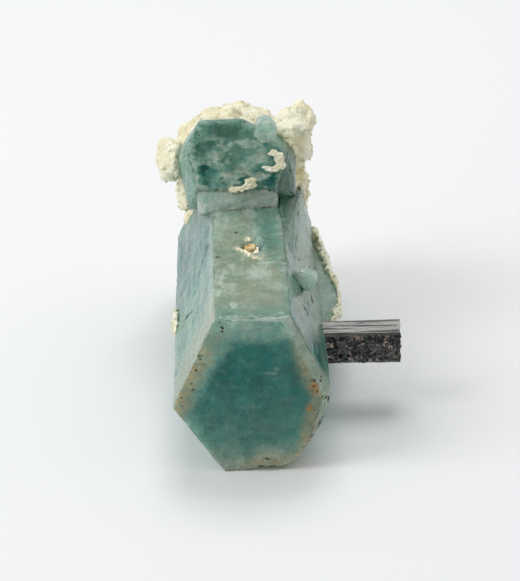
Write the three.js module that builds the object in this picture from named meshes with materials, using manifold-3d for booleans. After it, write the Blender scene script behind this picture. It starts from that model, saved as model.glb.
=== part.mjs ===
// Aquamarine crystal group lying on one prism face: a large hexagonal beryl prism, smaller beryl
// crystals grown parallel to it at the rear, feldspar matrix round the rear end, and a schorl rod
// standing out of the right side. Millimetres, +Z up, the long c-axis of the beryl along Y, the
// clean end face towards -Y. The origin is the middle of the underside of the group's box.
import * as THREE from "three";
import { ConvexGeometry } from "three/addons/geometries/ConvexGeometry.js";
import { mergeVertices } from "three/addons/utils/BufferGeometryUtils.js";
import Module from "manifold-3d";

// Large prism. Corners are [x, z] of its cross-section, clockwise from the left corner.
const PRISM_CORNERS = [
  [-8.15, 7.3],
  [-3.65, 17.0],
  [4.2, 17.0],
  [8.25, 8.6],
  [4.9, 0],
  [-3.0, 0],
];
const PRISM_LENGTH = 50;
const END_BEVEL = 0.9; // the narrow face between the clean end and the upper right side
const END_CHIP = { width: 5.6, height: 7.4, depth: 4.2 }; // broken lower right corner of the clean end

// Rear crystal: a flat end face with a wide bevel round it, then a parallel prism.
const REAR_FACE_Y = 33.6;
const REAR_SHOULDER_Y = 37.6;
const REAR_END_Y = 41.5;
const REAR_FACE = [
  [-6.2, 23.4],
  [-6.05, 25.1],
  [-4.9, 27.4],
  [-0.14, 27.5],
  [4.98, 23.5],
  [3.8, 18.9],
  [2.6, 17.7],
  [-2.7, 18.1],
  [-5.4, 19.1],
];
const REAR_SHOULDER = [
  [-7.5, 21.4],
  [-5.7, 23.2],
  [-3.6, 24.8],
  [0.2, 25.0],
  [6.0, 21.8],
  [6.0, 16.6],
  [-6.4, 15.2],
];

// Sloping lip where the rear crystal's end face meets the top of the large prism, as [x, y, z] corners.
const REAR_LIP = [
  [-4.6, 31.9, 16.8],
  [-0.9, 32.8, 16.9],
  [2.9, 33.1, 16.9],
  [3.9, 33.2, 16.9],
  [3.9, 33.65, 18.85],
  [2.6, 33.55, 17.8],
  [-2.7, 33.5, 18.2],
  [-5.5, 33.55, 19.15],
  [-5.4, 35.0, 15.5],
  [3.9, 35.0, 16.0],
];

// Swelling of the upper right side beside the rear crystal, as [x, y, z] corners.
const RIGHT_SWELLING = [
  [4.2, 24.0, 17.0],
  [5.3, 22.0, 14.7],
  [6.6, 39.5, 16.6],
  [4.0, 39.5, 17.6],
  [6.95, 47.0, 14.0],
  [8.2, 49.5, 8.8],
  [7.9, 37.0, 9.3],
  [3.0, 49.5, 16.0],
  [3.0, 30.0, 14.0],
];

// Small clean crystal at the upper right of the rear crystal.
const TWIN = { x: 2.5, z: 25.75, radius: 1.4, front: 33.2, rear: 36.2, turn: 0.2 };

// Corners of the block that stands out of the upper right side: its near face, then its far one.
const BLOCK = [
  [5.36, 16.44, 15.7],
  [4.87, 15.9, 14.8],
  [6.44, 15.41, 13.46],
  [7.41, 15.73, 13.8],
  [7.57, 16.29, 14.83],
  [6.31, 16.45, 15.47],
  [6.24, 18.5, 15.48],
  [6.75, 18.6, 15.58],
  [7.59, 18.3, 14.75],
  [7.3, 18.1, 13.3],
  [6.2, 17.6, 12.9],
  [5.2, 18.6, 14.2],
];

// Thin flange of beryl along the right edge of the large prism. Places are [x, y] of its rim.
const FLANGE_RIM = [
  [8.4, 48.5],
  [9.1, 42.0],
  [10.4, 31.5],
  [10.1, 27.5],
  [9.0, 21.0],
  [8.0, 15.0],
];
const FLANGE_EDGE = [5.6, 7.2]; // lowest and highest of the rim
const FLANGE_ROOT = [
  [7.05, 8.5],
  [5.6, 4.0],
]; // [x, z] of its top and its underside inside the prism

// Pit in the top face.
const PIT = { centre: [0.6, 20.6, 17.1], radii: [1.4, 2.3, 1.0] };

// Schorl rod: a ribbed prism standing out of the right side, rooted in the beryl.
const ROD = { y: 17.0, z: 7.0, radius: 2.35, root: 5.6, tip: 16.6, ribs: 9, ribDepth: 0.05 };

const GAP = 0.3; // between pieces of different minerals
const GROW = 0.42; // how much the beryl is swollen before it is cut from the matrix, so the gap is kept
const FLOOR_CLEARANCE = 0.35; // the matrix stays this far above the resting face

// Feldspar lumps: centre, radii, and a phase that sets the bumps.
const MATRIX_LUMPS = [
  { centre: [0.0, 50.0, 12.4], radii: [6.9, 5.2, 11.9], phase: 0.4 },
  { centre: [-1.2, 46.0, 18.2], radii: [6.6, 6.0, 6.4], phase: 3.6 },
  { centre: [-2.1, 39.6, 22.6], radii: [4.5, 4.6, 4.1], phase: 1.7 },
  { centre: [-8.2, 41.0, 20.3], radii: [1.9, 3.3, 2.3], phase: 2.9 },
  { centre: [-6.5, 43.0, 16.6], radii: [1.4, 4.0, 3.0], phase: 4.1 },
  { centre: [5.7, 42.2, 22.2], radii: [2.5, 4.0, 3.6], phase: 5.3 },
  { centre: [6.9, 41.6, 24.5], radii: [1.7, 3.2, 2.3], phase: 2.2 },
  { centre: [4.3, 46.2, 16.2], radii: [2.1, 5.2, 4.5], phase: 0.9 },
  { centre: [7.0, 47.6, 14.0], radii: [1.0, 3.4, 3.8], phase: 1.3 },
];
const MATRIX_DETAIL = 4;

// Cream rind on the rim of the flange: lumps strung along its edge.
const RIND_PATH = [
  [8.3, 47.4, 8.2],
  [9.3, 41.4, 7.4],
  [10.6, 31.2, 6.5],
  [10.3, 27.2, 6.4],
  [9.2, 20.8, 6.6],
];
const RIND = { lumps: 14, thickness: 0.48, stretch: 2.0, depth: 1.0 };
const RIND_DETAIL = 1;

// Small grains.
const EDGE_PATCH = { centre: [-8.0, 22.4, 7.45], radii: [0.5, 3.7, 1.0], phase: 1.1 };
const UPPER_GRAIN = { centre: [3.8, 33.35, 22.45], radii: [1.05, 0.45, 1.25], phase: 0.3 };
const LOWER_GRAIN = { centre: [-0.1, 33.3, 19.6], radii: [1.5, 0.42, 0.65], phase: 2.5 };
const CAVITY_GRAIN = { centre: [0.35, 20.6, 16.75], radii: [0.8, 1.4, 0.55], phase: 3.7 };
const GRAIN_DETAIL = 3;
const BUMP_DEPTH = 0.09; // as a share of a lump's radius

const wasm = await Module();
wasm.setup();

// A closed three.js geometry as a manifold-3d solid.
function solid(geometry) {
  const bare = new THREE.BufferGeometry();
  bare.setAttribute("position", geometry.getAttribute("position"));
  if (geometry.index) bare.setIndex(geometry.index);
  const merged = mergeVertices(bare, 1e-4);
  const vertProperties = new Float32Array(merged.getAttribute("position").array);
  const triVerts = new Uint32Array(merged.index.array);
  return new wasm.Manifold(new wasm.Mesh({ numProp: 3, vertProperties, triVerts }));
}

// A manifold-3d solid as a three.js geometry.
function geometryOf(manifold) {
  const { vertProperties, triVerts } = manifold.getMesh();
  const geometry = new THREE.BufferGeometry();
  geometry.setAttribute("position", new THREE.BufferAttribute(vertProperties, 3));
  geometry.setIndex(new THREE.BufferAttribute(triVerts, 1));
  geometry.computeVertexNormals();
  return geometry;
}

const join = (solids) => solids.reduce((all, one) => all.add(one));

// The convex solid on a set of points, swollen about its middle by grow on every side.
function convex(points, grow = 0) {
  const box = new THREE.Box3().setFromPoints(points);
  const middle = box.getCenter(new THREE.Vector3());
  const half = box.getSize(new THREE.Vector3()).multiplyScalar(0.5);
  const swell = new THREE.Vector3(1 + grow / half.x, 1 + grow / half.y, 1 + grow / half.z);
  return solid(new ConvexGeometry(points.map((p) => p.clone().sub(middle).multiply(swell).add(middle))));
}

// Points of a cross-section outline at one place along the c-axis.
const ring = (outline, y) => outline.map(([x, z]) => new THREE.Vector3(x, y, z));

// A regular hexagon outline.
function hexagon(x, z, radius, turn) {
  return Array.from({ length: 6 }, (_, i) => {
    const angle = turn + (i * Math.PI) / 3;
    return [x + radius * Math.cos(angle), z + radius * Math.sin(angle)];
  });
}

// The large prism: the clean end is full size except along its upper right edge, which is bevelled.
function mainPrism(grow) {
  const [left, topLeft, topRight, right, lowRight, lowLeft] = PRISM_CORNERS;
  const inward = new THREE.Vector2(topRight[1] - right[1], right[0] - topRight[0]).normalize();
  const bevelled = (corner) => [corner[0] - inward.x * END_BEVEL, corner[1] - inward.y * END_BEVEL];
  const endFace = [left, topLeft, bevelled(topRight), bevelled(right), lowRight, lowLeft];
  const points = [
    ...ring(endFace, 0),
    ...ring([topRight, right], END_BEVEL),
    ...ring(PRISM_CORNERS, PRISM_LENGTH),
  ];
  return convex(points, grow);
}

function rearCrystal(grow) {
  const points = [
    ...ring(REAR_FACE, REAR_FACE_Y),
    ...ring(REAR_SHOULDER, REAR_SHOULDER_Y),
    ...ring(REAR_SHOULDER, REAR_END_Y),
  ];
  return convex(points, grow);
}

function twinCrystal(grow) {
  const outline = hexagon(TWIN.x, TWIN.z, TWIN.radius, TWIN.turn);
  return convex([...ring(outline, TWIN.front), ...ring(outline, TWIN.rear)], grow);
}

const cornered = (corners, grow) => convex(corners.map((c) => new THREE.Vector3(...c)), grow);
const rearLip = (grow) => cornered(REAR_LIP, grow);
const rightSwelling = (grow) => cornered(RIGHT_SWELLING, grow);
const blockCrystal = (grow) => cornered(BLOCK, grow);

// The flange is thick where it joins the prism and thin at its rim.
function flange(grow) {
  const ends = [FLANGE_RIM[0], FLANGE_RIM[FLANGE_RIM.length - 1]];
  const points = ends.flatMap(([, y]) => ring(FLANGE_ROOT, y));
  for (const [x, y] of FLANGE_RIM) for (const z of FLANGE_EDGE) points.push(new THREE.Vector3(x, y, z));
  return convex(points, grow);
}

// A rough lump: a sphere scaled to its radii, with long smooth bumps.
function lump({ centre, radii, phase }, detail, grow = 0) {
  const geometry = new THREE.IcosahedronGeometry(1, detail);
  const place = geometry.getAttribute("position");
  const p = new THREE.Vector3();
  for (let i = 0; i < place.count; i++) {
    p.fromBufferAttribute(place, i);
    const wave =
      Math.sin(3.1 * p.x + 2.3 * p.y + phase) +
      Math.sin(4.7 * p.z - 3.9 * p.y + 2 * phase) +
      0.6 * Math.sin(7.3 * p.x - 5.1 * p.z + 3 * phase);
    const reach = 1 + (BUMP_DEPTH * wave) / 1.6;
    place.setXYZ(
      i,
      centre[0] + p.x * (radii[0] * reach + grow),
      centre[1] + p.y * (radii[1] * reach + grow),
      centre[2] + p.z * (radii[2] * reach + grow),
    );
  }
  return solid(geometry);
}

// The rod's section has shallow ribs along its length, as schorl does.
function schorlRod(grow = 0) {
  const section = new THREE.Shape();
  const steps = ROD.ribs * 4;
  for (let i = 0; i < steps; i++) {
    const angle = (i / steps) * 2 * Math.PI;
    const r = ROD.radius * (1 - ROD.ribDepth * (0.5 + 0.5 * Math.cos(ROD.ribs * angle))) + grow;
    if (i === 0) section.moveTo(r * Math.cos(angle), r * Math.sin(angle));
    else section.lineTo(r * Math.cos(angle), r * Math.sin(angle));
  }
  section.closePath();
  const geometry = new THREE.ExtrudeGeometry(section, {
    depth: ROD.tip - ROD.root + 2 * grow,
    bevelEnabled: false,
  });
  geometry.rotateY(Math.PI / 2);
  geometry.translate(ROD.root - grow, ROD.y, ROD.z);
  return solid(geometry);
}

// Broken lower right corner of the clean end.
function endChip() {
  const [, , , right, lowRight] = PRISM_CORNERS;
  const out = 3;
  const corners = [
    [lowRight[0] - END_CHIP.width, -out, -out],
    [lowRight[0] - END_CHIP.width * 0.8, -out, 0],
    [right[0] - 0.4, -out, END_CHIP.height],
    [right[0] + out, -out, END_CHIP.height + out],
    [right[0] + out, -out, -out],
    [lowRight[0] + 0.4, END_CHIP.depth, -out],
    [right[0] + out, END_CHIP.depth, -out],
    [right[0] + out, END_CHIP.depth, END_CHIP.height * 0.6],
  ];
  return cornered(corners, 0);
}

// All the beryl as one solid. Grown, it is the room that its neighbours leave for it.
function beryl(grow = 0) {
  const crystals = [mainPrism, flange, rearCrystal, rearLip, rightSwelling, twinCrystal, blockCrystal];
  return join(crystals.map((crystal) => crystal(grow)));
}

const largest = (manifold) => manifold.decompose().sort((a, b) => b.volume() - a.volume())[0];

// The rind's lumps overlap along the flange's rim.
function feldsparRind(grow = 0) {
  const path = new THREE.CatmullRomCurve3(RIND_PATH.map((p) => new THREE.Vector3(...p)));
  const step = path.getLength() / RIND.lumps;
  const lumps = Array.from({ length: RIND.lumps }, (_, i) => {
    const centre = path.getPointAt((i + 0.5) / RIND.lumps).toArray();
    const thickness = RIND.thickness * (1 + 0.25 * Math.sin(2.4 * i));
    return lump({ centre, radii: [thickness, (step * RIND.stretch) / 2, RIND.depth], phase: i }, RIND_DETAIL, grow);
  });
  return join(lumps);
}

function aquamarine() {
  const pit = lump({ ...PIT, phase: 0.8 }, GRAIN_DETAIL);
  const grains = [EDGE_PATCH, UPPER_GRAIN, LOWER_GRAIN, CAVITY_GRAIN];
  const sockets = grains.map((grain) => lump(grain, GRAIN_DETAIL, GAP));
  const cuts = [endChip(), pit, schorlRod(GAP), feldsparRind(GAP), ...sockets];
  return largest(cuts.reduce((body, cut) => body.subtract(cut), beryl()));
}

// The matrix is every lump joined, hollowed for the beryl and the rind, and kept off the resting surface.
function feldsparMatrix() {
  const below = new THREE.BoxGeometry(60, 120, 20);
  below.translate(0, 20, FLOOR_CLEARANCE - 10);
  const lumps = join(MATRIX_LUMPS.map((l) => lump(l, MATRIX_DETAIL)));
  return largest(lumps.subtract(beryl(GROW)).subtract(solid(below)).subtract(feldsparRind(GAP)));
}

// Cream feldspar, stained grain, beryl and schorl.
const finishes = {
  beryl: new THREE.MeshStandardMaterial({ color: 0x6fb0a8, roughness: 0.25, metalness: 0 }),
  feldspar: new THREE.MeshStandardMaterial({ color: 0xe6dcc0, roughness: 0.85, metalness: 0 }),
  stained: new THREE.MeshStandardMaterial({ color: 0xc79a4e, roughness: 0.8, metalness: 0 }),
  schorl: new THREE.MeshStandardMaterial({ color: 0x17181a, roughness: 0.3, metalness: 0 }),
};

const pieces = [
  ["aquamarine", aquamarine(), finishes.beryl],
  ["feldspar_matrix", feldsparMatrix(), finishes.feldspar],
  ["feldspar_rind", feldsparRind(), finishes.feldspar],
  ["feldspar_edge_patch", lump(EDGE_PATCH, GRAIN_DETAIL), finishes.feldspar],
  ["feldspar_grain_upper", lump(UPPER_GRAIN, GRAIN_DETAIL), finishes.feldspar],
  ["feldspar_grain_lower", lump(LOWER_GRAIN, GRAIN_DETAIL), finishes.feldspar],
  ["cavity_grain", lump(CAVITY_GRAIN, GRAIN_DETAIL), finishes.stained],
  ["schorl_rod", schorlRod(), finishes.schorl],
];

const specimen = new THREE.Group();
for (const [name, body, finish] of pieces) {
  const mesh = new THREE.Mesh(geometryOf(body), finish);
  mesh.name = name;
  specimen.add(mesh);
}

// The origin goes to the middle of the underside.
const box = new THREE.Box3().setFromObject(specimen);
const middle = box.getCenter(new THREE.Vector3());
specimen.position.set(-middle.x, -middle.y, -box.min.z);

const group = new THREE.Group();
group.add(specimen);
export default group;
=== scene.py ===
"""Looks of an aquamarine crystal specimen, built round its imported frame.

Inside the classes a length is in millimetres in the specimen's own axes: x to the right, y along the
c-axis from the clean end face to the matrix, z up from the resting face. Placement turns those into
the frame's metres when a piece is finished.
"""
import logging
import math
from dataclasses import dataclass, field
from enum import Enum
from typing import Callable, ClassVar, Iterable, Sequence

import bmesh
import bpy
import numpy as np
from mathutils import Matrix, Vector, noise
from mathutils.geometry import delaunay_2d_cdt


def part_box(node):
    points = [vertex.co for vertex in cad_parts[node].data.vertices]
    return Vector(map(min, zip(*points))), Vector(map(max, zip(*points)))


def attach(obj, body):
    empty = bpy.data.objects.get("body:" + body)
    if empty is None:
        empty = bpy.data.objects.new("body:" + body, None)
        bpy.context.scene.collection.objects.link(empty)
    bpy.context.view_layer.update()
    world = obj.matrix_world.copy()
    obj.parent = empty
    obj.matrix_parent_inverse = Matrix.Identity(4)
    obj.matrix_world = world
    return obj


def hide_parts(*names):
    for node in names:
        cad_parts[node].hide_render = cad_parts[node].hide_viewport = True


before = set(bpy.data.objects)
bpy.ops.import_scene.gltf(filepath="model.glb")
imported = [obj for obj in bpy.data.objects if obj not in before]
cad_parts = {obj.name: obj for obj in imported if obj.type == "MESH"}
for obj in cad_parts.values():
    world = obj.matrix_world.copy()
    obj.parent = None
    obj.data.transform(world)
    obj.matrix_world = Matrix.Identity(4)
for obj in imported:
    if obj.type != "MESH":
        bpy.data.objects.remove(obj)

log = logging.getLogger("aquamarine")

MM = 0.001  # one millimetre in the frame's metres
BODY = "root"
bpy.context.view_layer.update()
SAME_PLACE = 1e-3  # vertices closer than this, in millimetres, are one
SAME_PLANE = 0.01  # faces that turn by less than this, in radians, are one flat face
SHARP_EDGE = math.radians(14)  # facets that meet at more than this have a sharp edge

Point = tuple[float, float, float]
Outline = Sequence[tuple[float, float]]
Colour = tuple[float, float, float]


# ---------------------------------------------------------------------------------------------
# Places and noise
# ---------------------------------------------------------------------------------------------


@dataclass(frozen=True)
class Placement:
    """Turns the specimen's own millimetres into the frame's metres."""

    shift: Point

    @classmethod
    def of_beryl(cls, left: float) -> "Placement":
        """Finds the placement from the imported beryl.

        Args:
            left: x of the large prism's left corner in the specimen's own millimetres. The end face
                is at y = 0 and the resting face at z = 0.

        Returns:
            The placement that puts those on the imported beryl's own sides.
        """
        low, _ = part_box("aquamarine")
        return cls((low.x / MM - left, low.y / MM, low.z / MM))

    def matrix(self) -> Matrix:
        """The transform from the specimen's millimetres to the frame's metres."""
        return Matrix.Scale(MM, 4) @ Matrix.Translation(Vector(self.shift))

    def point(self, place: Point) -> Vector:
        """One place in the frame's metres."""
        return self.matrix() @ Vector(place)


def fractal(points: np.ndarray, size: float, octaves: int = 4, seed: float = 0.0,
            stretch: Point = (1.0, 1.0, 1.0)) -> np.ndarray:
    """Fractal noise, about -1 to 1, at many points.

    Args:
        points: n by 3 places in millimetres.
        size: the longest wave, in millimetres.
        octaves: how many finer waves are added.
        seed: moves the pattern to another part of the noise.
        stretch: how much longer the waves are along x, y and z.

    Returns:
        One value for each point.
    """
    scaled = points / (size * np.array(stretch)) + np.array((seed * 7.13, seed * 3.7, seed * 5.9))
    return np.array([noise.fractal(Vector(p), 0.9, 2.1, octaves) for p in scaled])


def cells(points: np.ndarray, size: float, seed: float = 0.0) -> tuple[np.ndarray, np.ndarray]:
    """Cellular noise at many points.

    Args:
        points: n by 3 places in millimetres.
        size: about how far apart the cells are, in millimetres.
        seed: moves the pattern.

    Returns:
        The distance to the nearest cell's middle, and the second distance less the first, both as
        shares of size.
    """
    scaled = points / size + seed * 3.31
    found = [noise.voronoi(Vector(p))[0] for p in scaled]
    near = np.array([f[0] for f in found])
    edge = np.array([f[1] - f[0] for f in found])
    return near, edge


def smooth(low: float, high: float, value: np.ndarray) -> np.ndarray:
    """A smooth step from 0 at low to 1 at high."""
    t = np.clip((value - low) / (high - low), 0.0, 1.0)
    return t * t * (3 - 2 * t)


def inside_distance(outline: Outline, flat: np.ndarray) -> np.ndarray:
    """How far points lie inside a convex outline.

    Args:
        outline: corners of a convex outline, clockwise or not.
        flat: n by 2 places.

    Returns:
        The distance to the nearest side, positive inside.
    """
    corners = np.array(outline)
    middle = corners.mean(0)
    depth = np.full(len(flat), np.inf)
    for a, b in zip(corners, np.roll(corners, -1, 0)):
        along = (b - a) / np.linalg.norm(b - a)
        inward = np.array((-along[1], along[0]))
        inward *= np.sign((middle - a) @ inward)
        depth = np.minimum(depth, (flat - a) @ inward)
    return depth


def segment_distance(points: np.ndarray, a: np.ndarray, b: np.ndarray) -> np.ndarray:
    """How far points are from the straight line between two places."""
    run = b - a
    share = np.clip((points - a) @ run / (run @ run), 0, 1)
    return np.linalg.norm(points - a - np.outer(share, run), axis=1)


def line_distance(points: np.ndarray, path: Sequence[Point]) -> np.ndarray:
    """How far points are from a line through several places."""
    found = np.full(len(points), np.inf)
    for a, b in zip(np.array(path), np.array(path)[1:]):
        found = np.minimum(found, segment_distance(points, a, b))
    return found


def within(corners: np.ndarray, flat: np.ndarray) -> tuple[np.ndarray, np.ndarray]:
    """Tells points inside an outline of any shape from those outside.

    Args:
        corners: the outline's corners, n by 2.
        flat: n by 2 places.

    Returns:
        Whether each point is inside, and its distance to the nearest side.
    """
    inside = np.zeros(len(flat), bool)
    nearest = np.full(len(flat), np.inf)
    for a, b in zip(corners, np.roll(corners, -1, 0)):
        crosses = (a[1] > flat[:, 1]) != (b[1] > flat[:, 1])
        if crosses.any():
            inside ^= crosses & (flat[:, 0] < (b[0] - a[0]) * (flat[:, 1] - a[1]) / (b[1] - a[1]) + a[0])
        nearest = np.minimum(nearest, segment_distance(flat, a, b))
    return inside, nearest


# ---------------------------------------------------------------------------------------------
# Mesh tools
# ---------------------------------------------------------------------------------------------


def linked(name: str, data: bpy.types.ID) -> bpy.types.Object:
    """An object made from its data and put in the scene."""
    made = bpy.data.objects.new(name, data)
    bpy.context.scene.collection.objects.link(made)
    return made


def object_of(name: str, vertices: np.ndarray, faces: Sequence[Sequence[int]]) -> bpy.types.Object:
    """A linked mesh object made from arrays, in millimetres."""
    mesh = bpy.data.meshes.new(name)
    mesh.from_pydata([tuple(v) for v in vertices], [], [tuple(f) for f in faces])
    mesh.update()
    return linked(name, mesh)


def object_from(name: str, body: bmesh.types.BMesh) -> bpy.types.Object:
    """A linked mesh object made from an editable mesh, which is freed."""
    mesh = bpy.data.meshes.new(name)
    body.to_mesh(mesh)
    body.free()
    return linked(name, mesh)


def vertices_of(piece: bpy.types.Object) -> np.ndarray:
    """The places of an object's vertices, n by 3."""
    flat = np.empty(len(piece.data.vertices) * 3, np.float32)
    piece.data.vertices.foreach_get("co", flat)
    return flat.reshape(-1, 3).astype(float)


def normals_of(piece: bpy.types.Object) -> np.ndarray:
    """The normals of an object's vertices, n by 3."""
    flat = np.empty(len(piece.data.vertices) * 3, np.float32)
    piece.data.vertex_normals.foreach_get("vector", flat)
    return flat.reshape(-1, 3).astype(float)


def move_vertices(piece: bpy.types.Object, places: np.ndarray) -> None:
    """Puts an object's vertices at new places."""
    piece.data.vertices.foreach_set("co", places.astype(np.float32).ravel())
    piece.data.update()


def set_mask(piece: bpy.types.Object, name: str, values: np.ndarray) -> None:
    """Stores one number for each vertex, for the finishes to read by name."""
    mask = piece.data.attributes.new(name, "FLOAT", "POINT")
    mask.data.foreach_set("value", np.clip(values, 0.0, 1.0).astype(np.float32))


def applied(piece: bpy.types.Object) -> bpy.types.Object:
    """Turns what an object's modifiers make into its plain mesh, and removes them."""
    graph = bpy.context.evaluated_depsgraph_get()
    mesh = bpy.data.meshes.new_from_object(piece.evaluated_get(graph), depsgraph=graph)
    piece.modifiers.clear()
    old, piece.data = piece.data, mesh
    mesh.name = piece.name
    bpy.data.meshes.remove(old)
    return piece


def discard(pieces: Iterable[bpy.types.Object]) -> None:
    """Removes helper objects and their meshes."""
    for piece in pieces:
        mesh = piece.data
        bpy.data.objects.remove(piece)
        bpy.data.meshes.remove(mesh)


def convex(name: str, points: Sequence[Point], grow: float = 0.0) -> bpy.types.Object:
    """The convex solid on a set of points, its flat faces whole.

    Args:
        name: the object's name.
        points: its corners.
        grow: how much it is swollen about its middle on every side.

    Returns:
        The object.
    """
    places = np.array(points, float)
    middle, half = (places.max(0) + places.min(0)) / 2, (places.max(0) - places.min(0)) / 2
    places = middle + (places - middle) * (1 + grow / half)
    body = bmesh.new()
    for p in places:
        body.verts.new(p)
    made = bmesh.ops.convex_hull(body, input=body.verts)
    loose = [g for g in made["geom_interior"] if isinstance(g, bmesh.types.BMVert)]
    bmesh.ops.delete(body, geom=loose, context="VERTS")
    bmesh.ops.dissolve_limit(body, angle_limit=SAME_PLANE, verts=body.verts, edges=body.edges)
    bmesh.ops.recalc_face_normals(body, faces=body.faces)
    return object_from(name, body)


def combine(piece: bpy.types.Object, others: Sequence[bpy.types.Object], operation: str,
            solver: str = "EXACT") -> bpy.types.Object:
    """Joins or cuts an object with others and discards them.

    Args:
        piece: the object to change.
        others: what it is joined or cut with.
        operation: UNION or DIFFERENCE.
        solver: EXACT keeps flat faces whole; MANIFOLD suits rough bodies.

    Returns:
        The changed object.
    """
    for other in others:
        change = piece.modifiers.new("combine", "BOOLEAN")
        change.operation = operation
        change.solver = solver
        change.object = other
    applied(piece)
    discard(others)
    return piece


def finish_piece(piece: bpy.types.Object, placement: Placement, slot: str, nodes: Sequence[str],
                 sharp: float | None = None) -> bpy.types.Object:
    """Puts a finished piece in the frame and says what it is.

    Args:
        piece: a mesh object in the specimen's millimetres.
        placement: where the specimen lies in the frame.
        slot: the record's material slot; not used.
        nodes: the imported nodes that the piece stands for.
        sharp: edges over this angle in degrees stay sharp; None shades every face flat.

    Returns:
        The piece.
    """
    piece.data.transform(placement.matrix())
    if sharp is None:
        piece.data.shade_flat()
    else:
        piece.data.shade_smooth()
        piece.data.set_sharp_from_angle(angle=math.radians(sharp))
    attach(piece, BODY)
    if nodes:
        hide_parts(*nodes)
    log.info("%s: %d faces, stands for %s", piece.name, len(piece.data.polygons),
             ", ".join(nodes) or "no node")
    return piece


# ---------------------------------------------------------------------------------------------
# Faceted bodies
# ---------------------------------------------------------------------------------------------


class Side(Enum):
    """A kind of facet on the beryl, with the size of the triangles that it is re-meshed with."""

    END = ("end", 0.15)
    BEVEL = ("bevel", 0.15)
    TOP = ("top", 0.17)
    UPPER_LEFT = ("upper left", 0.21)
    UPPER_RIGHT = ("upper right", 0.21)
    LOWER_LEFT = ("lower left", 0.32)
    LOWER_RIGHT = ("lower right", 0.28)
    BASE = ("base", 0.4)
    BACK = ("back", 0.6)
    REAR_END = ("rear end", 0.14)
    REAR_LIP = ("rear lip", 0.14)
    REAR_FLANK = ("rear flank", 0.22)
    TWIN = ("twin", 0.16)
    BLOCK = ("block", 0.14)
    FLANGE_TOP = ("flange top", 0.25)
    FLANGE_UNDER = ("flange underside", 0.3)

    @property
    def spacing(self) -> float:
        """The size of its triangles in millimetres."""
        return self.value[1]


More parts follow.
